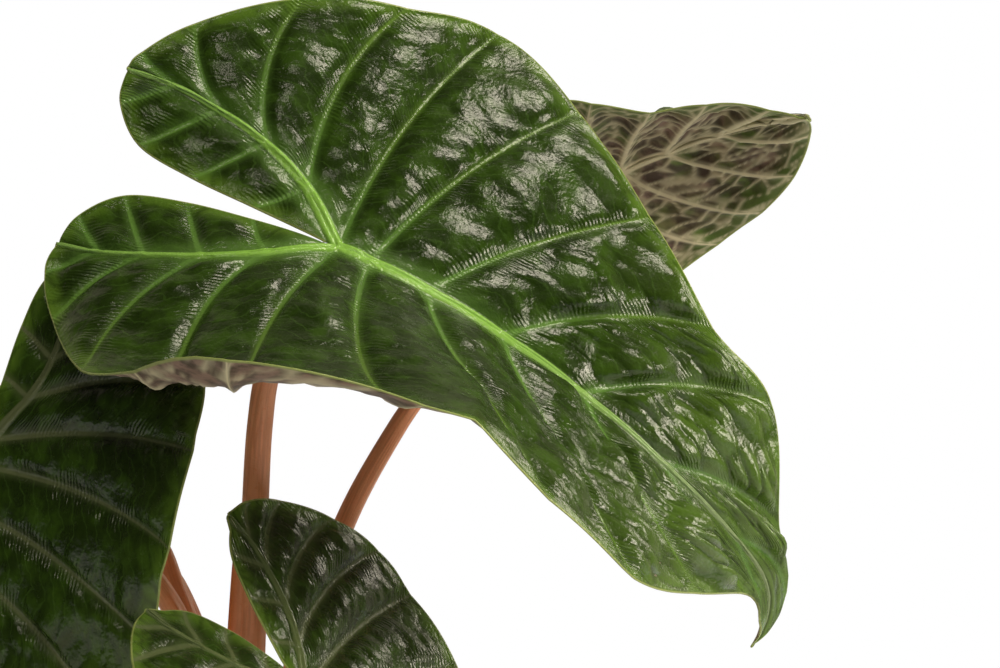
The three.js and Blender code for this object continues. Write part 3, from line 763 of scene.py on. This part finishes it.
def add_node(tree, kind, inputs=None, **settings):
    """Adds one node with its settings; each input is a value or another node's output."""
    node = tree.nodes.new(kind)
    for key, value in settings.items():
        setattr(node, key, value)
    for key, value in (inputs or {}).items():
        if isinstance(value, bpy.types.NodeSocket):
            tree.links.new(value, node.inputs[key])
        else:
            node.inputs[key].default_value = value
    return node


def new_material(name, measures=(), lumps=None):
    """An empty material and what its patterns read: the place on the piece, the mesh's own measures
    and noises, each given by the size of its lumps in millimetres and its detail."""
    material = bpy.data.materials.new(name)
    material.use_nodes = True
    tree = material.node_tree
    tree.nodes.clear()
    spot = add_node(tree, "ShaderNodeTexCoord").outputs["Object"]
    read = {"spot": spot}
    for measure in measures:
        read[measure] = add_node(tree, "ShaderNodeAttribute", attribute_name=measure).outputs["Fac"]
    for lump, (size, detail) in (lumps or {}).items():
        read[lump] = add_node(tree, "ShaderNodeTexNoise", {
            "Vector": spot, "Scale": 1 / (size * MM), "Detail": detail}).outputs[0]
    return material, tree, read


def strength(tree, top, *falls):
    """How much of a layer shows: top where every fall is full. A fall is a measure with the values at
    which it is full and gone, or a measure from 0 to 1 as it is."""
    factor = top
    for fall in falls:
        if isinstance(fall, tuple):
            value, full, gone = fall
            fall = add_node(tree, "ShaderNodeMapRange", {0: value, 1: full, 2: gone, 3: 1.0, 4: 0.0},
                            interpolation_type="SMOOTHSTEP").outputs[0]
        factor = add_node(tree, "ShaderNodeMath", {0: factor, 1: fall}, operation="MULTIPLY").outputs[0]
    return factor


def layered(tree, base, layers):
    """Colours laid over each other: each layer is a colour, its top strength and its falls."""
    colour = base
    for over, top, *falls in layers:
        share = strength(tree, top, *falls)
        colour = add_node(tree, "ShaderNodeMix", {0: share, 6: colour, 7: over}, data_type="RGBA").outputs[2]
    return colour


def finish_surface(tree, colour, height, bump_strength, bump_metres, inputs):
    """Bumps from the height, the shader with its other inputs, and the material's output."""
    bump = add_node(tree, "ShaderNodeBump", {
        "Strength": bump_strength, "Distance": bump_metres, "Height": height})
    shader = add_node(tree, "ShaderNodeBsdfPrincipled", {
        "Base Color": colour, "Normal": bump.outputs[0], **inputs})
    add_node(tree, "ShaderNodeOutputMaterial", {"Surface": shader.outputs["BSDF"]})


def herringbone(tree, read, spacing_mm, lean, wobble):
    """Lines that leave each vein, spacing_mm apart, as a wave from 0 to 1 along the blade's own run."""
    leaning = add_node(tree, "ShaderNodeMath", {0: read["vein_mm"], 1: -lean}, operation="MULTIPLY")
    line = add_node(tree, "ShaderNodeMath", {0: read["run_mm"], 1: leaning.outputs[0]}, operation="ADD")
    bent = add_node(tree, "ShaderNodeMath",
                    {0: read["bends"], 1: wobble, 2: line.outputs[0]}, operation="MULTIPLY_ADD")
    turn = add_node(tree, "ShaderNodeMath",
                    {0: bent.outputs[0], 1: 2 * math.pi / spacing_mm}, operation="MULTIPLY")
    wave = add_node(tree, "ShaderNodeMath", {0: turn.outputs[0]}, operation="SINE")
    return add_node(tree, "ShaderNodeMapRange", {0: wave.outputs[0], 1: -1.0, 2: 1.0}).outputs[0]


def upper_skin():
    """Leaf cuticle, grown: a waxy skin over dark green cells. It gives glints that the fine ridges
    break into dashes, and pale ribs."""
    colours = bpy.context.scene.alocasia_leaf
    material, tree, read = new_material(
        "leaf_cuticle_upper",
        ("rib", "vein", "rib_mm", "vein_mm", "edge_mm", "run_mm", "reach", "quilt", "fresh"),
        {"mottle": (12, 4), "bends": (9, 3), "patches": (14, 3), "cells": (2.2, 4), "gloss": (5, 3)},
    )
    old = add_node(tree, "ShaderNodeMath", {0: 1.0, 1: read["fresh"]}, operation="SUBTRACT").outputs[0]
    vein_colour = layered(tree, colours.vein, [
        (colours.pale_lamina_and_tip_light, 0.85, (read["run_mm"], 80.0, 8.0)),
        (colours.old_vein, 1.0, old),
    ])
    rib_colour = layered(tree, colours.rib, [
        (colours.rib_end, 1.0, (read["reach"], 0.8, 0.1)),
        (colours.old_vein, 1.0, old),
    ])
    cross_veins = herringbone(tree, read, 7.0, 0.55, 9.0)

    # Darker in mottles and with painted shade in the creases; paler towards the margin, and towards the tip
    # partly by its own tone and partly by painted light; brighter by the young ribs
    colour = layered(tree, colours.lamina, [
        (colours.dark_lamina_and_crease_shade, 1.0, (read["mottle"], 0.6, 0.38)),
        # Partly painted light: the tip half made paler where it faces the lights, over the skin's own
        # yellower tone there
        (colours.pale_lamina_and_tip_light, 0.85, (read["reach"], 0.85, 0.3)),
        (colours.band, 0.8, (read["edge_mm"], 1.0, 9.0)),
        # Painted shade: the dark lamina colour laid into the creases between the pillows
        (colours.dark_lamina_and_crease_shade, 0.55, (read["quilt"], 0.05, 0.6)),
        (colours.vein, 0.14, (cross_veins, 0.0, 0.05)),
        (colours.vein, 0.8, (read["rib_mm"], 1.0, 12.0), (read["reach"], 0.03, 0.45), read["fresh"]),
        (vein_colour, 0.3, (read["vein"], 0.6, 4.0)),
        (vein_colour, 0.9, (read["vein"], 0.35, 1.2)),
        (rib_colour, 1.0, (read["rib"], 0.75, 1.25)),
        (colours.rim, 1.0, (read["edge_mm"], 0.2, 0.7)),
    ])

    # Ridges and cells too low for the mesh
    ridges = strength(tree, 0.5, (read["vein_mm"], 3.0, 11.0), (read["patches"], 0.6, 0.42),
                      herringbone(tree, read, 1.9, 0.25, 2.4))
    height = add_node(tree, "ShaderNodeMath", {0: ridges, 1: read["cells"]}, operation="ADD").outputs[0]
    rough = add_node(tree, "ShaderNodeMapRange", {0: read["gloss"], 1: 0.3, 2: 0.7, 3: 0.16, 4: 0.3})
    finish_surface(tree, colour, height, 0.8, 0.0005, {"Roughness": rough.outputs[0], "IOR": 1.45})
    return material


def lower_skin():
    """Leaf underside, grown: matt purple-brown cells with raised pale veins. It gives a satin sheen."""
    colours = bpy.context.scene.alocasia_leaf
    material, tree, read = new_material(
        "leaf_skin_lower",
        ("rib", "vein", "edge_mm", "quilt", "fresh"),
        {"mottle": (8, 4), "tinge": (26, 2), "cells": (1.2, 3)},
    )
    colour = layered(tree, colours.under, [
        (colours.band, 1.0, (read["tinge"], 0.62, 0.4), (read["fresh"], 0.0, 1.0)),
        (colours.under_dark, 0.85, (read["mottle"], 0.6, 0.36)),
        (colours.pale_lamina_and_tip_light, 0.9, (read["edge_mm"], 2.0, 14.0), (read["fresh"], 0.0, 1.0)),
        (colours.under_vein, 0.7, (read["quilt"], 0.0, 0.7)),
        (colours.under_vein, 0.3, (read["vein"], 0.8, 2.4)),
        (colours.under_vein, 0.8, (read["vein"], 0.25, 0.8)),
        (colours.under_vein, 1.0, (read["rib"], 1.3, 2.3)),
        (colours.rim, 0.9, (read["edge_mm"], 0.3, 1.0)),
    ])
    finish_surface(tree, colour, read["cells"], 0.4, 0.0003, {
        "Roughness": 0.5, "IOR": 1.42, "Sheen Weight": 0.15, "Sheen Roughness": 0.4})
    return material


def stalk_skin():
    """Leaf stalk, grown: smooth fleshy skin with darker length-wise streaks and a soft sheen."""
    colours = bpy.context.scene.alocasia_leaf
    material, tree, read = new_material("stalk_skin", ("turn", "rise", "wing"), {"flecks": (1.0, 2)})
    around = add_node(tree, "ShaderNodeMath", {0: read["turn"], 1: 7.0}, operation="MULTIPLY").outputs[0]
    upward = add_node(tree, "ShaderNodeMath", {0: read["rise"], 1: 0.025}, operation="MULTIPLY").outputs[0]
    spot = add_node(tree, "ShaderNodeCombineXYZ", {0: around, 1: upward}).outputs[0]
    streaks = add_node(tree, "ShaderNodeTexNoise", {"Vector": spot, "Scale": 1.6, "Detail": 4.0}).outputs[0]
    colour = layered(tree, colours.stalk, [
        (colours.stalk_dark, 0.4, (streaks, 0.62, 0.4)),
        (colours.sheath, 0.3, (read["flecks"], 0.7, 0.6)),
        (colours.sheath, 1.0, read["wing"]),
    ])
    height = add_node(tree, "ShaderNodeMath", {0: streaks, 1: read["flecks"]}, operation="ADD").outputs[0]
    finish_surface(tree, colour, height, 0.35, 0.0004, {
        "Roughness": 0.38, "IOR": 1.42, "Subsurface Weight": 0.12, "Subsurface Scale": 0.002})
    return material


# Pieces other than blades


def make_stalk(key, skin):
    """A fleshy tube along the frame's line, with the open edge of its sheath low down."""
    shape, pose = STALKS[key], BLADES[key]
    rings, around = 110, 56
    up = midrib_frames(pose)[LOBE_STEPS][3]
    end = np.array(pose["joint"]) - (CAD_THICKNESS + RIB_DEPTH + SEAT_GAP) * up
    line = [(*shape["foot"], STEM_TOP + SEAT_GAP), *shape["line"], end - 7 * up, end]
    spans = len(line) - 1
    side, wing_height, until = shape["wing"]
    angles = np.linspace(-180, 180, around, endpoint=False)
    angles = angles - 9 * np.sin(np.radians(angles)) * 2
    part = np.linspace(0, 1, rings + 1)
    centres = spline(line, part * spans)
    radii = spline([[r] for r in shape["radius"]], part * 2)[:, 0]
    points, wing, turn, rise = [], [], [], []
    for k in range(rings + 1):
        ahead = centres[min(k + 1, rings)] - centres[max(k - 1, 0)]
        low_share = min(part[k] * 18, 1)
        high_share = min((1 - part[k]) * 18, 1)
        ahead = ahead / np.linalg.norm(ahead)
        ahead = blend(np.array([0, 0, 1.0]), ahead, low_share)
        ahead = blend(up, ahead, high_share)
        ahead /= np.linalg.norm(ahead)
        out = np.array(side, float) - np.dot(side, ahead) * ahead
        out /= np.linalg.norm(out)
        across = np.cross(ahead, out)
        opened = math.sqrt(max(0, math.sin(math.pi * min(part[k] / until, 1))))
        fin = np.clip(1 - np.abs(angles) / 30, 0, 1) ** 1.3
        flute = 1 + 0.004 * np.sin(np.radians(angles) * 9 + 3 * part[k])
        reach = radii[k] * flute + wing_height * opened * fin
        radians = np.radians(angles)[:, None]
        points.append(centres[k] + reach[:, None] * (np.cos(radians) * out + np.sin(radians) * across))
        wing.append(fin * opened)
        turn.append(np.abs(np.radians(angles)) / math.pi)
        rise.append(np.full(around, centres[k][2]))
    numbers = np.arange((rings + 1) * around).reshape(rings + 1, around).tolist()
    faces = [*joined(numbers, around), numbers[0][::-1], numbers[-1]]
    fields = {"wing": np.concatenate(wing), "turn": np.concatenate(turn), "rise": np.concatenate(rise)}
    return mesh_piece(f"stalk_{key}_skin", np.vstack(points), faces, [skin], None, fields)


def revolved(profile, around, push=None):
    """Points and faces of a closed body turned about Z; push moves each point's radius and height."""
    points, rows = [], []
    for r, z in profile:
        count = 1 if r == 0 else around
        turns = np.linspace(0, 2 * math.pi, count, endpoint=False)
        shift = push(r, z, turns) if push and r > 0 else np.zeros((count, 2))
        rows.append([len(points) + k for k in range(count)])
        for turn, (out, lift) in zip(turns, shift):
            points.append(((r + out) * math.cos(turn), (r + out) * math.sin(turn), z + lift))
    return points, joined(rows, around)


def rounded(profile, steps=5):
    """The profile with each corner that has a radius turned into an arc; corners are (r, z, radius)."""
    made = []
    for k, (r, z, radius) in enumerate(profile):
        if radius == 0:
            made.append((r, z))
            continue
        here = np.array([r, z], float)
        before = np.array(profile[k - 1][:2], float) - here
        after = np.array(profile[k + 1][:2], float) - here
        start = here + before / np.linalg.norm(before) * radius
        end = here + after / np.linalg.norm(after) * radius
        for i in range(steps + 1):
            t = i / steps
            made.append(tuple((1 - t) ** 2 * start + 2 * t * (1 - t) * here + t ** 2 * end))
    return made


def make_pot():
    """A thrown clay flowerpot: tapered wall, thick rim, drain holes, and faint turning rings."""
    rim_foot = POT_HEIGHT - RIM_HEIGHT
    wall = []
    rises = 46
    for k in range(rises + 1):
        part = k / rises
        z = blend(3, rim_foot - 2, part)
        wall.append((blend(POT_FOOT_RADIUS, POT_NECK_RADIUS, part), z, 0))
    inside = RIM_RADIUS - POT_LIP
    profile = rounded([
        (0, 0, 0), (POT_FOOT_RADIUS - 0.2, 0, 2.5), *wall,
        (POT_NECK_RADIUS, rim_foot, 1), (RIM_RADIUS - 2, rim_foot, 1.5), (RIM_RADIUS, POT_HEIGHT - 1, 0),
        (RIM_RADIUS - 0.3, POT_HEIGHT, 0.8), (inside + 1, POT_HEIGHT, 1.8),
        (inside, POT_HEIGHT - 5, 0), (POT_NECK_RADIUS - POT_WALL, rim_foot - 4, 2),
        (POT_FOOT_RADIUS - POT_WALL + 1, POT_FLOOR + 3, 2), (POT_FOOT_RADIUS - POT_WALL - 2, POT_FLOOR, 0),
        (0, POT_FLOOR, 0),
    ])

    def turning(r, z, turns):
        waver = 0.16 * math.sin(z * 2 * math.pi / 4.3) + 0.1 * math.sin(z * 2 * math.pi / 1.9)
        lean = 0.25 * np.sin(2 * turns + 0.6) + 0.12 * np.sin(5 * turns + z * 0.05)
        on_wall = r > POT_FOOT_RADIUS - POT_WALL
        out = (waver * (4 < z < POT_HEIGHT - 3) + lean) * on_wall
        return np.column_stack([out * np.ones(len(turns)), np.zeros(len(turns))])

    points, faces = revolved(profile, 160, turning)
    pot = mesh_piece("clay_pot", points, faces, [fired_clay()])
    for k in range(DRAIN_HOLES):
        turn = 2 * math.pi * (k + 0.25) / DRAIN_HOLES
        drill = revolved([(0, -2), (DRAIN_RADIUS, -2), (DRAIN_RADIUS, POT_FLOOR + 3), (0, POT_FLOOR + 3)], 32)
        cutter = mesh_piece("drill", drill[0], drill[1], [])
        cutter.location = (DRAIN_CIRCLE * MM * math.cos(turn), DRAIN_CIRCLE * MM * math.sin(turn), 0)
        cut = pot.modifiers.new("drain", "BOOLEAN")
        cut.object, cut.operation, cut.solver = cutter, "DIFFERENCE", "EXACT"
        bpy.context.view_layer.update()
        cut_mesh = bpy.data.meshes.new_from_object(pot.evaluated_get(bpy.context.evaluated_depsgraph_get()))
        pot.modifiers.clear()
        pot.data = cut_mesh
        bpy.data.objects.remove(cutter)
    return pot


def soil_height(x, y):
    """Height of the mix at each place: crowned, with clods."""
    spots = np.column_stack([x, y])
    r = np.hypot(x, y)
    clods = 0.9 * ripple(spots, 9, 21) + 0.6 * ripple(spots, 3.5, 22)
    return SOIL_TOP + SOIL_CROWN * (1 - r / RIM_RADIUS) + clods


def make_soil():
    """Potting mix: a crumbly ground, then bark chips, peat crumbs and white grains half sunk in it."""
    edge = RIM_RADIUS - POT_LIP - (POT_HEIGHT - SOIL_TOP) * 0.3
    hole = STEM_RADIUS + SEAT_GAP
    bands = np.linspace(edge, hole, 46)
    profile = [(0, POT_FLOOR + SEAT_GAP), (POT_FOOT_RADIUS - POT_WALL - 3, POT_FLOOR + SEAT_GAP),
               (POT_FOOT_RADIUS - POT_WALL, POT_FLOOR + 4), (edge - 0.6, POT_HEIGHT - RIM_HEIGHT - 2)]
    profile += [(r, SOIL_TOP) for r in bands]
    profile += [(hole, STEM_FOOT - SEAT_GAP), (0, STEM_FOOT - SEAT_GAP)]

    def clods(r, z, turns):
        if z != SOIL_TOP:
            return np.zeros((len(turns), 2))
        rise = soil_height(r * np.cos(turns), r * np.sin(turns)) - SOIL_TOP
        return np.column_stack([np.zeros(len(turns)), rise])

    points, faces = revolved(profile, 200, clods)
    kinds = [0] * len(faces)
    random = np.random.default_rng(31)
    crumb = bpy.data.meshes.new("crumb")
    ball = bmesh.new()
    bmesh.ops.create_icosphere(ball, subdivisions=2, radius=1)
    ball.to_mesh(crumb)
    ball.free()
    unit = np.array([list(v.co) for v in crumb.vertices])
    unit_faces = [list(f.vertices) for f in crumb.polygons]
    bpy.data.meshes.remove(crumb)

    # Count, smallest and largest radius, stretch and material of the peat crumbs, bark and white grains
    grains = [
        (620, 0.9, 2.0, (1, 1, 0.8), 0),
        (150, 2.2, 4.6, (1, 0.55, 0.3), 1),
        (110, 0.8, 1.7, (1, 1, 0.9), 2),
    ]
    for count, small, large, stretch, kind in grains:
        for _ in range(count):
            size = random.uniform(small, large)
            r = math.sqrt(random.uniform((hole + large) ** 2, (edge - large) ** 2))
            turn = random.uniform(0, 2 * math.pi)
            x, y = r * math.cos(turn), r * math.sin(turn)
            knobs = 1 + 0.28 * ripple(unit, 1.1, int(random.integers(1e6)))
            rotation = np.array(Matrix.Rotation(random.uniform(0, 6.3), 3, "Z")
                                @ Matrix.Rotation(random.uniform(-0.5, 0.5), 3, "X"))
            lump = (unit * knobs[:, None] * size * np.array(stretch)) @ rotation.T
            z = soil_height(np.array([x]), np.array([y]))[0] + 0.25 * size * stretch[2]
            first = len(points)
            points.extend((lump + (x, y, z)).tolist())
            faces.extend([[first + k for k in face] for face in unit_faces])
            kinds.extend([kind] * len(unit_faces))
    return mesh_piece("potting_mix", points, faces, [peat(), bark(), perlite()], kinds)


def make_stem_base():
    """The short rootstock: rings of old leaf scars, rough skin and a flat top that carries the stalks."""
    low = SOIL_TOP - 6
    height = (STEM_TOP - 2 - low) / STEM_RINGS
    profile = [(0, STEM_FOOT), (STEM_RADIUS - 5, STEM_FOOT), (STEM_RADIUS - 1, STEM_FOOT + 4)]
    profile += [(STEM_RADIUS - 1, z) for z in np.linspace(STEM_FOOT + 8, low - 2, 6)]

    # Rings, each with the share of its height and how far in the profile lies there
    for k in range(STEM_RINGS):
        for part, dent in STEM_RING:
            profile.append((STEM_RADIUS - 0.3 - 0.4 * k - dent, low + height * (k + part)))
    profile += [(STEM_RADIUS - 2.2, STEM_TOP - 1.4), (STEM_RADIUS - 3.2, STEM_TOP - 0.5),
                (STEM_RADIUS - 4.5, STEM_TOP), (STEM_RADIUS - 9, STEM_TOP), (0, STEM_TOP)]

    def rough(r, z, turns):
        around = np.column_stack([np.cos(turns) * r, np.sin(turns) * r, np.full(len(turns), z * 1.8)])
        side = 1 if r > STEM_RADIUS - 5 else 0
        out = -0.35 * side * (1 + ripple(around, 4, 41)) + 0.1 * side * ripple(around, 1.2, 42)
        return np.column_stack([out, np.zeros(len(turns))])

    points, faces = revolved(profile, 140, rough)
    return mesh_piece("rootstock", points, faces, [scarred_skin()])


def fired_clay():
    """Terracotta, thrown and fired unglazed: matt, finely gritty, with a faint pale lime bloom."""
    colours = bpy.context.scene.alocasia_pot
    material, tree, read = new_material("terracotta", (), {
        "bloom": (45, 5), "specks": (1.3, 2), "grit": (0.7, 4), "grain": (3, 3), "wear": (12, 3)})
    colour = layered(tree, colours.clay, [
        (colours.clay_pale, 0.3, (read["bloom"], 0.7, 0.35)),
        (colours.soil, 0.35, (read["specks"], 0.72, 0.6)),
    ])
    height = add_node(tree, "ShaderNodeMath", {0: read["grit"], 1: read["grain"]}, operation="ADD").outputs[0]
    rough = add_node(tree, "ShaderNodeMapRange", {0: read["wear"], 1: 0.3, 2: 0.7, 3: 0.74, 4: 0.92})
    finish_surface(tree, colour, height, 0.5, 0.0004, {
        "Roughness": rough.outputs[0], "Specular IOR Level": 0.3})
    return material


def speckled(name, base, specks, grain, bumps, inputs):
    """A dull material of one colour with specks. Each row of specks is a colour, its top strength, the
    size in millimetres and detail of its lumps, and the noise at which it is full and gone."""
    lumps = {"grain": grain}
    for row, (_, _, size, detail, _, _) in enumerate(specks):
        lumps[row] = (size, detail)
    material, tree, read = new_material(name, (), lumps)
    layers = [(colour, top, (read[row], full, gone))
              for row, (colour, top, _, _, full, gone) in enumerate(specks)]
    finish_surface(tree, layered(tree, base, layers), read["grain"], *bumps, inputs)
    return material


def peat():
    """Damp peat, crumbled: nearly black brown and dull, with lighter dry specks."""
    colours = bpy.context.scene.alocasia_pot
    specks = [(colours.bark, 0.5, 1.6, 4, 0.68, 0.5)]
    return speckled("peat", colours.soil, specks, (1.2, 5), (0.8, 0.0008),
                    {"Roughness": 0.9, "Specular IOR Level": 0.25})


def bark():
    """Pine bark, chipped: red-brown flakes with darker grain."""
    colours = bpy.context.scene.alocasia_pot
    specks = [(colours.soil, 0.8, 0.9, 4, 0.6, 0.42)]
    return speckled("bark_chips", colours.bark, specks, (0.8, 4), (0.7, 0.0006), {"Roughness": 0.8})


def perlite():
    """Perlite, expanded: off-white brittle foam grains, quite matt."""
    colours = bpy.context.scene.alocasia_pot
    specks = [(colours.soil, 0.4, 0.8, 3, 0.62, 0.5)]
    return speckled("perlite", colours.perlite, specks, (0.5, 3), (0.6, 0.0004), {"Roughness": 0.85})


def scarred_skin():
    """Old stem skin, grown and dried: corky brown rings with salmon live skin between them."""
    pot_colours = bpy.context.scene.alocasia_pot
    leaf_colours = bpy.context.scene.alocasia_leaf
    specks = [(leaf_colours.stalk_dark, 0.7, 7, 4, 0.62, 0.4), (pot_colours.soil, 0.6, 1.4, 4, 0.66, 0.5)]
    return speckled("corky_skin", pot_colours.stem, specks, (1.1, 4), (0.7, 0.0006), {"Roughness": 0.7})


# Operators


class ALOCASIA_OT_blades(bpy.types.Operator):
    """Makes the five blades with their veins, ridges and two skins"""

    bl_idname = "alocasia.blades"
    bl_label = "Blades"

    def execute(self, context):
        skins = [upper_skin(), lower_skin()]
        for key in BLADES:
            place(make_blade(key, skins, context.scene.alocasia_leaf), f"blade_{key}")
        return {"FINISHED"}


class ALOCASIA_OT_stalks(bpy.types.Operator):
    """Makes the five leaf stalks with their sheaths"""

    bl_idname = "alocasia.stalks"
    bl_label = "Stalks"

    def execute(self, context):
        skin = stalk_skin()
        for key in STALKS:
            place(make_stalk(key, skin), f"stalk_{key}")
        return {"FINISHED"}


class ALOCASIA_OT_stem_base(bpy.types.Operator):
    """Makes the ringed rootstock that carries the stalks"""

    bl_idname = "alocasia.stem_base"
    bl_label = "Stem base"

    def execute(self, context):
        place(make_stem_base(), "stem_base")
        return {"FINISHED"}


class ALOCASIA_OT_soil(bpy.types.Operator):
    """Makes the potting mix with its chips and grains"""

    bl_idname = "alocasia.soil"
    bl_label = "Soil"

    def execute(self, context):
        place(make_soil(), "soil")
        return {"FINISHED"}


class ALOCASIA_OT_pot(bpy.types.Operator):
    """Makes the clay flowerpot"""

    bl_idname = "alocasia.pot"
    bl_label = "Pot"

    def execute(self, context):
        place(make_pot(), "pot")
        return {"FINISHED"}


class ALOCASIA_OT_stage(bpy.types.Operator):
    """Makes the pale floor, the soft lights and the photograph's camera"""

    bl_idname = "alocasia.stage"
    bl_label = "Stage"

    def execute(self, context):
        settings = context.scene.alocasia_stage
        make_camera(context.scene)
        make_floor(settings)
        make_lights(settings)
        make_world(context.scene)
        return {"FINISHED"}


def make_camera(scene):
    data = bpy.data.cameras.new("camera")
    data.lens = CAMERA_LENS
    data.sensor_width = 36
    camera = bpy.data.objects.new("camera", data)
    lift = math.radians(CAMERA_ELEVATION)
    away = Vector((0, -math.cos(lift), math.sin(lift))) * CAMERA_DISTANCE
    camera.location = Vector(CAMERA_TARGET) + away
    camera.rotation_euler = (math.radians(90) - lift, 0, 0)
    scene.collection.objects.link(camera)
    scene.camera = camera
    scene.view_settings.view_transform = "Standard"


def make_floor(settings):
    """A round pale card that turns as white as the room towards its edge."""
    radius, around = settings.floor_radius / MM, 96
    turns = np.linspace(0, 2 * math.pi, around, endpoint=False)
    points = [(radius * math.cos(turn), radius * math.sin(turn), -0.3) for turn in turns]
    material, tree, read = new_material("floor_card")
    card = add_node(tree, "ShaderNodeBsdfPrincipled", {
        "Base Color": linear("#f4f4f2"), "Roughness": 0.8, "Specular IOR Level": 0.1})
    glow = add_node(tree, "ShaderNodeEmission", {"Color": (1, 1, 1, 1), "Strength": 1.0})
    far = add_node(tree, "ShaderNodeVectorMath", {0: read["spot"]}, operation="LENGTH").outputs["Value"]
    edge = strength(tree, 1.0, (far, settings.floor_radius, settings.floor_radius * 0.4))
    mix = add_node(tree, "ShaderNodeMixShader", {0: edge, 1: card.outputs["BSDF"], 2: glow.outputs[0]})
    add_node(tree, "ShaderNodeOutputMaterial", {"Surface": mix.outputs[0]})
    floor = mesh_piece("floor", points, [list(range(around))], [material])


def make_lights(settings):
    """Soft boxes high and low on the right, small ones behind on the right and high on the left, and
    a wide fill. Each row: name, azimuth, elevation, distance, size, power and whether it is mirrored."""
    aim = Vector(CAMERA_TARGET)
    lights = [
        ("key_light", 84, 63, 1.5, 0.45, settings.key_power, True),
        ("side_light", 80, 5, 1.6, 0.5, settings.side_power, True),
        ("back_light", 132, 14, 1.6, 0.3, settings.back_power, True),
        ("glint_light", -20, 46, 1.7, 0.3, settings.glint_power, True),
        ("fill_light", 10, 45, 1.7, 1.2, settings.fill_power, False),
    ]
    for name, azimuth, elevation, distance, size, power, mirrored in lights:
        data = bpy.data.lights.new(name, "AREA")
        data.size = size
        data.energy = power
        data.color = linear("#fff4e0")[:3]
        light = bpy.data.objects.new(name, data)
        light.visible_glossy = mirrored
        turn, lift = math.radians(azimuth), math.radians(elevation)
        way = Vector((math.sin(turn) * math.cos(lift), -math.cos(turn) * math.cos(lift), math.sin(lift)))
        light.location = aim + way * distance
        light.rotation_euler = (-way).to_track_quat("-Z", "Y").to_euler()
        bpy.context.scene.collection.objects.link(light)


def make_world(scene):
    """White behind the plant for the eye; for light and reflections the room is bright only at the back."""
    world = bpy.data.worlds.new("studio")
    world.use_nodes = True
    tree = world.node_tree
    tree.nodes.clear()
    path = add_node(tree, "ShaderNodeLightPath")
    way = add_node(tree, "ShaderNodeTexCoord").outputs["Generated"]
    parts = add_node(tree, "ShaderNodeSeparateXYZ", {0: way})
    back = strength(tree, 0.42, (parts.outputs["Y"], 0.9, 0.1))
    dim = add_node(tree, "ShaderNodeMath", {0: back, 1: 0.035}, operation="ADD").outputs[0]
    seen = add_node(tree, "ShaderNodeBackground", {"Color": (1, 1, 1, 1), "Strength": 1.0})
    room = add_node(tree, "ShaderNodeBackground", {"Color": linear("#fff0d4"), "Strength": dim})
    mix = add_node(tree, "ShaderNodeMixShader", {
        0: path.outputs["Is Camera Ray"], 1: room.outputs[0], 2: seen.outputs[0]})
    add_node(tree, "ShaderNodeOutputWorld", {"Surface": mix.outputs[0]})
    scene.world = world


class ALOCASIA_PT_panel(bpy.types.Panel):
    """Lists the pieces in the order they are made"""

    bl_idname = "ALOCASIA_PT_panel"
    bl_label = "Alocasia"
    bl_space_type = "VIEW_3D"
    bl_region_type = "UI"
    bl_category = "Alocasia"

    def draw(self, context):
        for step in MAKERS:
            self.layout.operator(step.bl_idname)


MAKERS = (
    ALOCASIA_OT_blades, ALOCASIA_OT_stalks, ALOCASIA_OT_stem_base,
    ALOCASIA_OT_soil, ALOCASIA_OT_pot, ALOCASIA_OT_stage,
)
SETTINGS = {
    "alocasia_leaf": AlocasiaLeafSettings,
    "alocasia_pot": AlocasiaPotSettings,
    "alocasia_stage": AlocasiaStageSettings,
}


def register():
    for key, group in SETTINGS.items():
        bpy.utils.register_class(group)
        setattr(bpy.types.Scene, key, bpy.props.PointerProperty(type=group))
    for made in (*MAKERS, ALOCASIA_PT_panel):
        bpy.utils.register_class(made)


def unregister():
    for made in (ALOCASIA_PT_panel, *reversed(MAKERS)):
        bpy.utils.unregister_class(made)
    for key, group in SETTINGS.items():
        delattr(bpy.types.Scene, key)
        bpy.utils.unregister_class(group)


def main():
    register()
    bpy.ops.alocasia.blades()
    bpy.ops.alocasia.stalks()
    bpy.ops.alocasia.stem_base()
    bpy.ops.alocasia.soil()
    bpy.ops.alocasia.pot()
    bpy.ops.alocasia.stage()
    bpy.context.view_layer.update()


if __name__ == "__main__":
    main()
